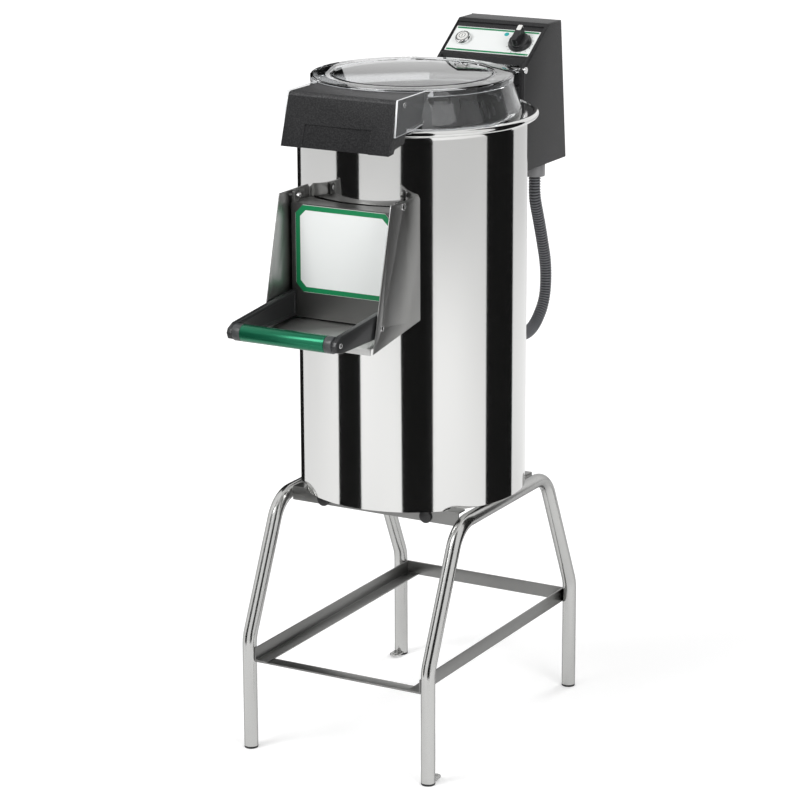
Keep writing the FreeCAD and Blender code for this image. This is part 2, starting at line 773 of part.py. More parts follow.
def lid_shell():
    """Clear lid: a turned crown with two flat cheeks in front and a hinge tongue behind."""
    crown = turned("lid_crown", ((0, lid_inner_top), (d.lid_ridge_radius - 5, lid_inner_top),
                                 (d.lid_ridge_radius - 5, lid_step - 2),
                                 (d.lid_base_radius - d.lid_wall, lid_foot),
                                 (d.lid_base_radius, lid_foot), (d.lid_base_radius, lid_foot + 4),
                                 (d.lid_ridge_radius - 1.5, lid_step),
                                 (d.lid_ridge_radius, lid_step + 1.5),
                                 (d.lid_ridge_radius, d.lid_top - 1.5),
                                 (d.lid_ridge_radius - 1.5, d.lid_top),
                                 (d.lid_groove_radius + 4, d.lid_top),
                                 (d.lid_groove_radius + 2, d.lid_top - 1.5),
                                 (d.lid_groove_radius - 2, d.lid_top - 1.5),
                                 (d.lid_groove_radius - 4, d.lid_top), (0, d.lid_top)))
    nodes.pop("lid_crown")
    ear_rear = -(d.lid_ridge_radius - 41)
    ear_outline = ((ear_rear, d.lid_top - 1.5), (-d.cover_front_top - 3, d.lid_top - 3),
                   (-d.cover_front_top - 12, rim_top - 1), (-d.cover_front_top + 52, rim_top + 2.5),
                   (ear_rear - 15, rim_top + 8))
    pieces = [crown]
    for side in (-1, 1):
        start = d.ear_half_span - d.ear_thickness if side > 0 else -d.ear_half_span
        ear = plate("lid_ear", "YZ_Plane", ear_outline, start, d.ear_thickness)
        nodes.pop("lid_ear")
        pieces.append(ear)
    hinge_y, hinge_z, knuckle = d.lid_hinge_reach, d.lid_hinge_level, d.lid_knuckle_radius
    tongue = plate("lid_tongue", "YZ_Plane",
                   ((d.lid_groove_radius, d.lid_top - 4), (hinge_y - 18, hinge_z + 2),
                    (hinge_y, hinge_z), (hinge_y, hinge_z + knuckle),
                    (hinge_y - 18, hinge_z + 10), (d.lid_groove_radius + 12, d.lid_top)),
                   -d.lid_tongue_half_width, 2 * d.lid_tongue_half_width)
    nodes.pop("lid_tongue")
    knuckle_bar = cylinder("lid_knuckle", knuckle, 2 * d.lid_tongue_half_width,
                           (-d.lid_tongue_half_width, hinge_y, hinge_z), Vector(1, 0, 0))
    pieces += [tongue, knuckle_bar]
    bore = cylinder("lid_knuckle_bore", d.lid_rod_radius + d.running_clearance,
                    2 * d.lid_tongue_half_width + 2,
                    (-d.lid_tongue_half_width - 1, hinge_y, hinge_z), Vector(1, 0, 0))
    return cut("lid_shell", fuse("lid_blank", pieces), bore)


keep(lid_shell(), "lid_shell")

cover_half = d.ear_half_span - d.ear_thickness
cover_top = d.lid_top - 4


def lid_cover():
    """Black front cover with a rounded top edge, a hollow back and a finger lip below."""
    cover_rear = -(d.lid_ridge_radius - 40)
    outline = ((-d.cover_front_top, cover_top), (-d.cover_front_foot, d.cover_foot_level),
               (-d.cover_front_foot + 17, d.cover_foot_level + 1.5),
               (-d.cover_front_foot + 21, d.cover_foot_level + 8),
               (-d.cover_front_foot + 52, d.cover_foot_level + 13),
               (-d.cover_front_foot + 62, rim_top + 6), (cover_rear, rim_top + 12),
               (cover_rear, cover_top))
    body = plate("cover_blank", "YZ_Plane", outline, -cover_half, 2 * cover_half)
    nodes.pop("cover_blank")
    round_edges(body, 9, lambda edge: edge.CenterOfMass.z > float(cover_top) - 0.1
                and edge.CenterOfMass.y < -float(d.cover_front_top) + 0.1)
    wall = d.cover_wall
    inside = ((-d.cover_front_top + 5, cover_top - wall),
              (-d.cover_front_foot + 23 + wall, d.cover_foot_level + 11),
              (-d.cover_front_foot + 23 + wall, d.cover_foot_level - 6),
              (cover_rear + 6, d.cover_foot_level - 6), (cover_rear + 6, cover_top - wall))
    cut_plate(body, "YZ_Plane", inside, -cover_half + wall, 2 * (cover_half - wall))
    grip_low = (-d.cover_front_foot - 2, d.cover_foot_level - 1)
    grip_high = (-d.cover_front_foot + 11.5, d.cover_foot_level + 38)
    cut_plate(body, "YZ_Plane",
              (grip_low, (grip_low[0] + 2 + d.grip_depth, grip_low[1]),
               (grip_high[0] + 2 + d.grip_depth, grip_high[1]), (grip_high[0] - 2, grip_high[1])),
              -d.grip_half_width, 2 * d.grip_half_width)
    crown_space = cylinder("cover_crown_space", d.lid_ridge_radius + d.lid_gap, 90,
                           (0, 0, d.cover_foot_level))
    skirt_space = doc.addObject("Part::Cone", "cover_skirt_space")
    bind(skirt_space, Radius1=d.lid_base_radius + 2, Radius2=d.lid_ridge_radius - 1,
         Height=lid_step - lid_foot + 2, Placement__Base__z=lid_foot)
    return cut("lid_cover", body, fuse("cover_spaces", [crown_space, skirt_space]))


keep(lid_cover(), "lid_cover")
screw_parts = []
for side in (-1, 1):
    root = side * d.ear_half_span
    head = cylinder("cover_screw", 4.5, 2, (root, -d.cover_front_top + 18, d.lid_top - 14),
                    Vector(side, 0, 0))
    screw_parts.append(head)
keep(group("lid_cover_screws", screw_parts), "lid_cover_screws")

# Chute and door

door_pin_clear = d.door_pin_radius + d.running_clearance
stop_screw = (-(d.chute_foot_reach - 29), d.chute_foot_level + 39)
plate_inner = d.chute_half_span - d.plate_thickness
drum_at_plate = root_of(d.drum_radius * d.drum_radius - plate_inner * plate_inner)
side_outline = ((-d.chute_top_reach, d.chute_top), (-d.chute_foot_reach, d.chute_foot_level),
                (-drum_at_plate, d.chute_rear_level), (-drum_at_plate, d.chute_top - 6),
                (-drum_at_plate - 6, d.chute_top))
for side, node in ((-1, "chute_side_left"), (1, "chute_side_right")):
    start = d.chute_half_span - d.plate_thickness if side > 0 else -d.chute_half_span
    side_body = plate(node, "YZ_Plane", side_outline, start, d.plate_thickness)
    cut_holes(side_body, "YZ_Plane",
              ((-d.door_hinge_reach, d.door_hinge_level, d.door_pin_radius),
               (stop_screw[0], stop_screw[1], 3)), start, d.plate_thickness)


def chute_floor():
    """Folded floor that runs from the drum to a lip in front of the side plates."""
    half = d.chute_half_span - d.plate_thickness
    sheet_metal = d.plate_thickness
    rear = (-drum_at_plate, d.chute_rear_level)
    front = (-d.chute_lip_reach, d.chute_foot_level + 11)
    outline = ((rear[0], rear[1] - sheet_metal), rear, front,
               (-d.chute_lip_reach - 1, d.chute_foot_level),
               (-d.chute_lip_reach + 1, d.chute_foot_level),
               (front[0] + sheet_metal + 1, front[1] - sheet_metal))
    body = plate("floor_blank", "YZ_Plane", outline, -half, 2 * half)
    nodes.pop("floor_blank")
    drum_space = cylinder("floor_drum_space", d.drum_radius, 60,
                          (0, 0, d.chute_foot_level - 10))
    return cut("chute_floor", body, drum_space)


keep(chute_floor(), "chute_floor")
screw_parts = []
for side in (-1, 1):
    root = side * (d.chute_half_span - d.plate_thickness)
    shank = cylinder("chute_shank", 3, d.plate_thickness, (root, stop_screw[0], stop_screw[1]),
                     Vector(side, 0, 0))
    head = cylinder("chute_head", 5, 2, (root + side * d.plate_thickness, stop_screw[0],
                                         stop_screw[1]), Vector(side, 0, 0))
    screw_parts.append(fuse("chute_screw", [shank, head]))
keep(group("chute_screws", screw_parts), "chute_screws")
pin_inner = d.door_half_width - 12
pin_parts = []
for side in (-1, 1):
    centre = (d.door_hinge_reach * -1, d.door_hinge_level)
    shank = cylinder("door_pin_shank", d.door_pin_radius, d.chute_half_span - pin_inner,
                     (side * pin_inner, centre[0], centre[1]), Vector(side, 0, 0))
    head = cylinder("door_pin_head", d.door_pin_radius + 2, 2,
                    (side * d.chute_half_span, centre[0], centre[1]), Vector(side, 0, 0))
    pin_parts.append(fuse("door_pin", [shank, head]))
keep(group("door_hinge_pins", pin_parts), "door_hinge_pins")


def door_shell():
    """A shallow tray: flat front, sides and head that reach back to the drum, hinge ears."""
    half = d.door_half_width
    low, high = d.door_foot_level, d.door_head_level
    rear = d.drum_radius + d.door_drum_gap
    foot_rise = 10
    back = rear * -0.72
    outline = ((-d.door_face, high), (-d.door_face, low), (back, low + foot_rise), (back, high))
    body = plate("door_blank", "YZ_Plane", outline, -half, 2 * half)
    nodes.pop("door_blank")
    wall = d.door_sheet
    inside = ((-d.door_face + wall, high - wall), (-d.door_face + wall, low + wall + 1),
              (back + 10, low + foot_rise + wall), (back + 10, high - wall))
    cut_plate(body, "YZ_Plane", inside, -half + wall, 2 * (half - wall))
    drum_space = cylinder("door_drum_space", rear, high - low + 40, (0, 0, low - 20))
    tray = cut("door_tray", body, drum_space)
    ears = []
    hinge_y, hinge_z = -d.door_hinge_reach, d.door_hinge_level
    for side in (-1, 1):
        start = half - 6 if side > 0 else -half
        ear = plate("door_ear", "YZ_Plane",
                    ((hinge_y - 8, high - 20), (hinge_y - 8, hinge_z + 6), (hinge_y - 6, hinge_z + 8),
                     (hinge_y + 6, hinge_z + 8), (hinge_y + 8, hinge_z + 6), (hinge_y + 8, high - 20)),
                    start, 6)
        nodes.pop("door_ear")
        cut_holes(ear, "YZ_Plane", ((hinge_y, hinge_z, door_pin_clear),), start, 6)
        ears.append(ear)
    return fuse("door_shell", [tray] + ears)


keep(door_shell(), "door_shell")
seal_outer = d.drum_radius + d.door_drum_gap
seal_low = d.opening_bottom - 6
seal_high = d.opening_top + 8


def door_seal():
    """A curved rubber frame on the tray's rear edge that closes round the opening."""
    ring = cylinder("seal_ring", seal_outer, seal_high - seal_low, (0, 0, seal_low))
    core = cylinder("seal_core", seal_outer - d.seal_thickness, 400, (0, 0, seal_low - 100))
    reach = d.door_half_width - 0.5
    window = block("seal_front", (-reach, -seal_outer - 5, seal_low), (reach, 0, seal_high))
    hollow = block("seal_window", (-d.opening_half_width + 2, -seal_outer - 5, d.opening_bottom + 4),
                   (d.opening_half_width - 2, 10, d.opening_top - 2))
    strip = common("seal_strip", cut("seal_tube", ring, core), window)
    return cut("door_seal", strip, hollow)


keep(door_seal(), "door_seal")


def label_outline(half, low, high, corner):
    return ((-half + corner, low), (half - corner, low), (half, low + corner),
            (half, high - corner), (half - corner, high), (-half + corner, high),
            (-half, high - corner), (-half, low + corner))


arm_outer_face = d.arm_inner_face + d.arm_thickness
plate("door_label", "XZ_Plane",
      label_outline(d.label_half_width - 1.5, d.label_low, d.label_high, d.label_corner),
      d.door_face, d.label_thickness)
for side, node in ((-1, "handle_arm_left"), (1, "handle_arm_right")):
    start = d.arm_inner_face if side > 0 else -arm_outer_face
    front = -d.handle_reach
    arm_rear = -d.door_face
    arm = plate(node, "YZ_Plane",
                ((arm_rear, d.door_foot_level + 1), (arm_rear, d.door_foot_level + 48),
                 (front + 4, d.handle_level + d.handle_radius),
                 (front - d.handle_radius + 4, d.handle_level + 8),
                 (front - d.handle_radius, d.handle_level),
                 (front - d.handle_radius + 4, d.handle_level - 10),
                 (front + 4, d.handle_level - d.handle_radius)),
                start, d.arm_thickness)
    flute_start = d.arm_inner_face - 1 if side > 0 else -d.arm_inner_face - 3
    cut_plate(arm, "YZ_Plane",
              ((arm_rear - 4, d.door_foot_level + 7), (arm_rear - 4, d.door_foot_level + 41),
               (front + 26, d.handle_level + 9), (front + 26, d.handle_level - 9)),
              flute_start, 4)
tube_half = d.grip_tube_half_length
grip = rod("handle_tube", "YZ_Plane", -d.handle_reach, d.handle_level, d.handle_radius,
           -tube_half, 2 * tube_half)
cut_holes(grip, "YZ_Plane", ((-d.handle_reach, d.handle_level, d.handle_radius - 3),),
          -tube_half, 2 * tube_half)
cap_parts = []
for side in (-1, 1):
    collar = cylinder("grip_collar", d.handle_radius, d.arm_inner_face - tube_half,
                      (side * tube_half, -d.handle_reach, d.handle_level), Vector(side, 0, 0))
    spigot = cylinder("grip_spigot", d.handle_radius - 3, 15,
                      (side * (tube_half - 15), -d.handle_reach, d.handle_level),
                      Vector(side, 0, 0))
    cap_parts.append(fuse("grip_end", [collar, spigot]))
keep(group("handle_end_caps", cap_parts), "handle_end_caps")

# Control box

slope_rise = v.box_top - v.panel_foot_level
slope_run = v.panel_head_reach - v.box_front
slope_angle = math.degrees(math.atan2(slope_rise, slope_run))
panel_head = Vector(0, v.panel_head_reach, v.box_top)
panel_turn = Rotation(Vector(1, 0, 0), slope_angle)


def on_panel(body, across=0.0, down=0.0, lift=0.0):
    """Lays a body on the sloping panel, down below its head edge and lift above its face."""
    offset = panel_turn.multVec(Vector(across, -down, lift))
    body.Placement = Placement(panel_head + offset, panel_turn)
    return body


rise = d.box_top - d.panel_foot_level
run = d.panel_head_reach - d.box_front
slope = rise / run
panel_backing = as_size(11)
panel_wall = panel_backing * run / root_of(rise * rise + run * run)
inner_front = d.box_front + d.notch_depth + d.box_wall
box_outline = ((d.box_front, d.box_bottom), (d.box_rear_low - 1.5, d.box_bottom),
               (d.box_rear_high - 1.5, d.box_top), (d.panel_head_reach, d.box_top),
               (d.box_front, d.panel_foot_level))


def box_housing():
    """Tall shell open behind, with a notch for the lid hinge between two cheeks."""
    half, wall = d.box_half_width, d.box_wall
    body = plate("box_blank", "YZ_Plane", box_outline, -half, 2 * half)
    nodes.pop("box_blank")
    round_edges(body, 5, lambda edge: abs(edge.CenterOfMass.x) > v.box_half_width - 0.1
                and edge.CenterOfMass.y < v.box_rear_high - 3 and edge.CenterOfMass.z > v.box_bottom + 6)
    notch_half = half - d.cheek_thickness
    cut_plate(body, "YZ_Plane",
              ((d.box_front - 5, d.notch_floor), (d.box_front + d.notch_depth, d.notch_floor),
               (d.box_front + d.notch_depth, d.box_top + 5), (d.box_front - 5, d.box_top + 5)),
              -notch_half, 2 * notch_half)
    inner_top = d.box_top - wall
    cut_plate(body, "YZ_Plane",
              ((inner_front, d.box_bottom + wall), (d.box_rear_low + 5, d.box_bottom + wall),
               (d.box_rear_low + 5, inner_top),
               (d.box_front + (inner_top + panel_backing - d.panel_foot_level) / slope, inner_top),
               (inner_front,
                d.panel_foot_level + (inner_front - d.box_front) * slope - panel_backing)),
              -half + wall, 2 * (half - wall))
    low_space = ((d.box_front + wall, d.box_bottom + wall), (inner_front + 1, d.box_bottom + wall),
                 (inner_front + 1, d.notch_floor - wall), (d.box_front + wall, d.notch_floor - wall))
    cut_plate(body, "YZ_Plane", low_space, -half + wall, 2 * (half - wall))
    recess = on_panel(plate("panel_recess", "XY_Plane",
                            ((-88, -90), (88, -90), (88, -9), (-88, -9)),
                            -d.recess_depth, d.recess_depth + 5))
    nodes.pop("panel_recess")
    holes = [recess,
             cylinder("lid_rod_hole", d.lid_rod_radius, 2 * half + 2,
                      (-half - 1, d.lid_hinge_reach, d.lid_hinge_level), Vector(1, 0, 0))]
    for across, radius in ((-d.button_offset, 8.0), (d.knob_offset, 4.0)):
        hole = rod("control_hole", "XY_Plane", across, -d.control_from_head, radius, -30, 40)
        nodes.pop("control_hole")
        holes.append(on_panel(hole))
    for side in (-1, 1):
        holes.append(cylinder("gland_hole", gland_neck_radius, 20,
                              (side * d.hose_offset, d.box_gland_reach, d.box_bottom - 5)))
    return cut("box_housing", body, fuse("box_holes", holes))


keep(box_housing(), "box_housing")
cover_lean = (d.box_rear_high - d.box_rear_low) / (d.box_top - d.box_bottom)
plate("box_rear_cover", "YZ_Plane",
      ((d.box_rear_low - 1.5, d.box_bottom), (d.box_rear_low, d.box_bottom),
       (d.box_rear_high, d.box_top), (d.box_rear_high - 1.5, d.box_top)),
      -d.box_half_width + 1, 2 * d.box_half_width - 2)
label_top = -d.panel_from_head
label_foot = -d.panel_from_head - d.panel_height
panel = plate("control_panel", "XY_Plane",
              ((-d.panel_half_width, label_foot), (d.panel_half_width, label_foot),
               (d.panel_half_width, label_top), (-d.panel_half_width, label_top)),
              -d.recess_depth, d.panel_sheet)
cut_holes(panel, "XY_Plane", ((-d.button_offset, -d.control_from_head, 8),
                              (d.knob_offset, -d.control_from_head, 4)),
          -d.recess_depth, d.panel_sheet)
on_panel(panel)
panel_face = -d.recess_depth + d.panel_sheet
bezel = turned("button_bezel", ((d.button_radius + 0.4, panel_face), (d.bezel_radius, panel_face),
                                (d.bezel_radius, panel_face + 5),
                                (d.bezel_radius - 2, panel_face + d.bezel_height),
                                (d.button_radius + 0.4, panel_face + d.bezel_height)))
on_panel(bezel, -v.button_offset, v.control_from_head)
button = turned("button_cap", ((0, panel_face - 12), (7.5, panel_face - 12),
                               (7.5, panel_face + d.button_travel + 1),
                               (d.button_radius, panel_face + d.button_travel + 1),
                               (d.button_radius, panel_face + d.bezel_height),
                               (d.button_radius - 1.5, panel_face + d.bezel_height + 1.5),
                               (0, panel_face + d.bezel_height + 1.5)))
on_panel(button, -v.button_offset, v.control_from_head)


def timer_knob():
    """Round skirt with a raised grip bar whose pale end points to the scale."""
    low = panel_face + 0.5
    skirt = turned("knob_skirt", ((0, low), (d.knob_radius, low), (d.knob_radius, low + 4),
                                  (d.knob_radius - 3, low + d.knob_height),
                                  (0, low + d.knob_height)))
    nodes.pop("knob_skirt")
    grip_top = low + d.knob_height + d.knob_grip_height
    bar = plate("knob_grip", "XY_Plane",
                ((-6, -d.knob_radius + 4), (6, -d.knob_radius + 4), (6, d.knob_radius - 1),
                 (-6, d.knob_radius - 1)), low + 3, grip_top - low - 3)
    nodes.pop("knob_grip")
    stem = rod("knob_stem", "XY_Plane", 0, 0, 3, panel_face - 26, 28)
    nodes.pop("knob_stem")
    return fuse("timer_knob", [skirt, bar, stem])


keep(timer_knob(), "timer_knob")
on_panel(nodes["timer_knob"], v.knob_offset, v.control_from_head)
timer = plate("timer_body", "XY_Plane", ((-24, -20), (24, -20), (24, 20), (-24, 20)),
              -panel_wall - 28, 28)
cut_holes(timer, "XY_Plane", ((0, 0, 3 + d.running_clearance),), -panel_wall - 28, 28)
on_panel(timer, v.knob_offset, v.control_from_head)
plinth_rear = d.box_front + d.box_wall
keep(block("contactor", (-55, plinth_rear, 1020), (0, plinth_rear + 60, 1095)), "contactor")
bracket_front = d.drum_radius * 0.75
bracket = plate("box_bracket", "XY_Plane",
                ((-d.bracket_half_width, bracket_front), (d.bracket_half_width, bracket_front),
                 (d.bracket_half_width, d.box_front), (-d.bracket_half_width, d.box_front)),
                d.bracket_low, d.bracket_high - d.bracket_low)
nodes.pop("box_bracket")
bracket_space = cylinder("bracket_drum_space", d.drum_radius, 200, (0, 0, d.bracket_low - 50))
bracket_hollow = block("bracket_hollow",
                       (-d.bracket_half_width + 3, 0, d.bracket_low + 3),
                       (d.bracket_half_width - 3, d.box_front - 3, d.bracket_high + 3))
keep(cut("box_bracket_piece", bracket, fuse("bracket_spaces", [bracket_space, bracket_hollow])),
     "box_bracket")
rod_half = d.box_half_width
rod_shank = cylinder("lid_rod_shank", d.lid_rod_radius, 2 * rod_half,
                     (-rod_half, d.lid_hinge_reach, d.lid_hinge_level), Vector(1, 0, 0))
rod_heads = [cylinder("lid_rod_head", 6, 3, (side * rod_half, d.lid_hinge_reach,
                                             d.lid_hinge_level), Vector(side, 0, 0))
             for side in (-1, 1)]
keep(fuse("lid_hinge_rod", [rod_shank] + rod_heads), "lid_hinge_rod")

# Conduit and glands

drum_gland_face = d.drum_radius - 3.8


def gland(root, direction, open_end):
    """A round gland: a nut outside the wall and a neck through it."""
    back = Vector(-direction.x, -direction.y, -direction.z)
    nut = cylinder("gland_nut", d.gland_radius, d.gland_length, root, direction)
    neck = cylinder("gland_neck", gland_neck_radius, 12, root, back)
    pieces = fuse("gland_blank", [nut, neck])
    if not open_end:
        return pieces
    start = [size - part * 12 for size, part in zip(root, (direction.x, direction.y, direction.z))]
    bore = cylinder("gland_bore", d.hose_bore_radius, d.gland_length + 12, start, direction)
    return cut("gland", pieces, bore)


glands = [gland((d.hose_offset, d.box_gland_reach, d.box_bottom), Vector(0, 0, -1), True),
          gland((-d.hose_offset, d.box_gland_reach, d.box_bottom), Vector(0, 0, -1), False),
          gland((d.hose_offset, drum_gland_face, d.drum_gland_level), Vector(0, 1, 0), True)]
keep(group("cable_glands", glands), "cable_glands")


def conduit():
    """Ribbed hose from the gland under the box, out and round, and back into the drum."""
    across = v.hose_offset
    top = v.box_bottom - v.gland_length
    low = v.drum_gland_level
    near = float(drum_gland_face) + v.gland_length
    route = [Vector(across, v.box_gland_reach, top), Vector(across, v.box_gland_reach, top - 40),
             Vector(across, 378, 843), Vector(across, 404, 765), Vector(across, 400, 700),
             Vector(across, 350, low), Vector(across, near, low)]
    radii = []
    for index in range(1, len(route) - 1):
        first = route[index - 1] - route[index]
        second = route[index + 1] - route[index]
        half_turn = (math.pi - first.getAngle(second)) / 2
        radii.append(0.45 * min(first.Length, second.Length) / math.tan(half_turn))
    print("conduit bend radii", ["%.0f" % radius for radius in radii])
    path = bend_path(route, radii)
    length = path.Length
    plain_end = 2 * v.hose_radius
    ribs = int((length - 2 * plain_end) / v.hose_rib_pitch)
    pitch = (length - 2 * plain_end) / ribs
    stations = [(0.0, v.hose_radius)]
    for rib in range(ribs):
        start = plain_end + rib * pitch
        for share, depth in ((0.0, v.hose_rib_depth), (0.2, 0.0), (0.6, 0.0), (0.8, v.hose_rib_depth)):
            stations.append((start + share * pitch, v.hose_radius - depth))
    stations[1] = (plain_end, v.hose_radius)
    stations.append((length, v.hose_radius))
    print("conduit length %.1f with %d ribs" % (length, ribs))

    def point_and_heading(distance):
        travelled = 0.0
        for edge in path.OrderedEdges:
            if distance <= travelled + edge.Length + 1e-6:
                parameter = edge.getParameterByLength(min(distance - travelled, edge.Length))
                return edge.valueAt(parameter), edge.tangentAt(parameter)
            travelled += edge.Length
        last = path.OrderedEdges[-1]
        return last.valueAt(last.LastParameter), last.tangentAt(last.LastParameter)

    def ring(distance, radius):
        point, heading = point_and_heading(distance)
        circle = Part.Circle()
        circle.Radius = radius
        shape = Part.Wire([circle.toShape()])
        turn = Rotation(Vector(1, 0, 0), heading.cross(Vector(1, 0, 0)), heading, "ZXY")
        shape.Placement = Placement(point, turn)
        return shape

    outer = Part.makeLoft([ring(*station) for station in stations], True, True)
    bore_path = [ring(distance, v.hose_bore_radius)
                 for distance in [0.0] + [plain_end + rib * pitch for rib in range(ribs + 1)] + [length]]
    return outer.cut(Part.makeLoft(bore_path, True, True))


keep(feature("conduit", conduit()), "conduit")

# Placing, checking and writing

doc.recompute()
for node, thing in nodes.items():
    bound = {name: text for name, text in thing.ExpressionEngine}
    if "Placement.Base.y" in bound:
        moved = "%s + %s" % (bound["Placement.Base.y"], centre_shift.text)
    else:
        moved = "%r + %s" % (thing.Placement.Base.y, centre_shift.text)
    thing.setExpression("Placement.Base.y", moved)
doc.recompute()

for thing in doc.Objects:
    if "Invalid" in thing.State or "Error" in thing.State:
        raise RuntimeError("%s (%s) failed: %s" % (thing.Name, thing.Label, thing.State))
for node, thing in nodes.items():
    if thing.Shape.isNull() or not thing.Shape.isValid():
        raise RuntimeError("%s has no valid shape" % node)
    if thing.Shape.Volume <= 0:
        raise RuntimeError("%s has no volume" % node)

os.makedirs("parts", exist_ok=True)
for node, thing in nodes.items():
    thing.Shape.exportStep("parts/%s.step" % node)
print("wrote %d nodes" % len(nodes))
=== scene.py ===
# %% [markdown]
# # An electric potato peeler, dressed piece by piece
# The machine is a polished steel drum on a tube stand. A clear lid is hinged at the back,
# a door with a green handle closes the chute in front, and a black box behind holds the
# button and the timer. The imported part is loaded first, and it stays a fixed frame: every
# piece made below sits on it and rides on one of its moving bodies.

# %% Load the frame
import json
import math

import bmesh
import bpy
from mathutils import Matrix, Vector


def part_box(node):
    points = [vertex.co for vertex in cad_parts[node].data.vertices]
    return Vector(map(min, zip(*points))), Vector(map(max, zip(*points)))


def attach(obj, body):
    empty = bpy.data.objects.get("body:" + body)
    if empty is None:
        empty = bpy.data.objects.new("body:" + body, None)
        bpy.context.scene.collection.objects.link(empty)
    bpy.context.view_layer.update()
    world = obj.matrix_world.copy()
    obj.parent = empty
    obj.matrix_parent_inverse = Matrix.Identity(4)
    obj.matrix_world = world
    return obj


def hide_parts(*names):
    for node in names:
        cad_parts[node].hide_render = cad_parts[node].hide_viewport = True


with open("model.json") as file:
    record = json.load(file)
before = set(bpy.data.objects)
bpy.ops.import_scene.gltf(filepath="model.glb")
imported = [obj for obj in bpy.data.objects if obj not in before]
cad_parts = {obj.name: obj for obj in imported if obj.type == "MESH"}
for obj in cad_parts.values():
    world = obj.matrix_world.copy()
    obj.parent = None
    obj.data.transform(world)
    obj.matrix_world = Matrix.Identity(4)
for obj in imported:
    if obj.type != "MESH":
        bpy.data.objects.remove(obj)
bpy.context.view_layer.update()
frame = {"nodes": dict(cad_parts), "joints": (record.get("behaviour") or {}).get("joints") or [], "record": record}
joints = {joint["name"]: joint for joint in frame["joints"]}

# %% [markdown]
# Lengths on the object are easiest to read in millimetres, while Blender works in metres, so
# one constant turns one into the other. The drum axis is measured from the frame and not
# typed in, and the pieces below are placed about it.

# %% Units and the places that the frame gives
MM = 0.001
X_AXIS, Y_AXIS, Z_AXIS = Vector((1, 0, 0)), Vector((0, 1, 0)), Vector((0, 0, 1))
drum_low, drum_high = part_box("drum_shell")
rim_low, rim_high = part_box("drum_rim")
AXIS_Y = (rim_low.y + rim_high.y) / 2
DRUM_RADIUS = (drum_high.x - drum_low.x) / 2
RIM_RADIUS = (rim_high.x - rim_low.x) / 2
print("drum radius %.1f mm, drum axis at y %.2f mm" % (DRUM_RADIUS / MM, AXIS_Y / MM))


def at(across, along, up):
    """A point given in millimetres about the drum axis and the floor."""
    return Vector((across * MM, AXIS_Y + along * MM, up * MM))


# %% [markdown]
# A texture such as brushed grain, grit or moulded leather grain is the same idea with other
# numbers: noise on the object's own coordinates, stretched along one way. It is built once
# as a shader node group with named inputs, and each material places it with its own values.

# %% A helper for nodes of every kind
def add_node(tree, kind, links=None, **settings):
    """A node with its sockets set: a value sets a socket, another node's socket is linked."""
    node = tree.nodes.new(kind)
    for name, value in settings.items():
        setattr(node, name, value)
    for socket, value in (links or {}).items():
        if isinstance(value, bpy.types.NodeSocket):
            tree.links.new(value, node.inputs[socket])
        else:
            node.inputs[socket].default_value = value
    return node


# %% The grain group
def grain_group():
    group = bpy.data.node_groups.new("surface_grain", "ShaderNodeTree")
    for name, default in (("Across", 400.0), ("Along", 400.0), ("Up", 400.0), ("Detail", 3.0),
                          ("Low", 0.2), ("High", 0.4)):
        socket = group.interface.new_socket(name, in_out="INPUT", socket_type="NodeSocketFloat")
        socket.default_value = default
    for name in ("Height", "Roughness"):
        group.interface.new_socket(name, in_out="OUTPUT", socket_type="NodeSocketFloat")
    values = add_node(group, "NodeGroupInput").outputs
    place = add_node(group, "ShaderNodeTexCoord")
    scale = add_node(group, "ShaderNodeCombineXYZ",
                     {0: values["Across"], 1: values["Along"], 2: values["Up"]})
    stretch = add_node(group, "ShaderNodeVectorMath",
                       {0: place.outputs["Object"], 1: scale.outputs[0]}, operation="MULTIPLY")
    noise = add_node(group, "ShaderNodeTexNoise", {"Vector": stretch.outputs[0], "Scale": 1.0,
                                                   "Detail": values["Detail"]})
    spread = add_node(group, "ShaderNodeMapRange",
                      {"Value": noise.outputs["Fac"], "To Min": values["Low"],
                       "To Max": values["High"]})
    add_node(group, "NodeGroupOutput", {"Height": noise.outputs["Fac"],
                                        "Roughness": spread.outputs["Result"]})
    return group


GRAIN = grain_group()
print("grain inputs", [item.name for item in GRAIN.interface.items_tree if item.in_out == "INPUT"])


# %% A material with or without grain
GRAIN_SOCKETS = ("Across", "Along", "Up", "Low", "High")
FLECK_FROM, FLECK_TO = 0.40, 0.68
MIX_FACTOR, MIX_FIRST, MIX_SECOND, MIX_RESULT = 0, 6, 7, 2


def two_colours(material, mask, low, high, second):
    """Base Color goes from its own value to second as the mask goes from low to high."""
    tree = material.node_tree
    shader = tree.nodes["Principled BSDF"]
    spread = add_node(tree, "ShaderNodeMapRange",
                      {"Value": mask, "From Min": low, "From Max": high})
    blend = add_node(tree, "ShaderNodeMix",
                     {MIX_FACTOR: spread.outputs["Result"], MIX_SECOND: (*second, 1.0),
                      MIX_FIRST: shader.inputs["Base Color"].default_value}, data_type="RGBA")
    tree.links.new(blend.outputs[MIX_RESULT], shader.inputs["Base Color"])


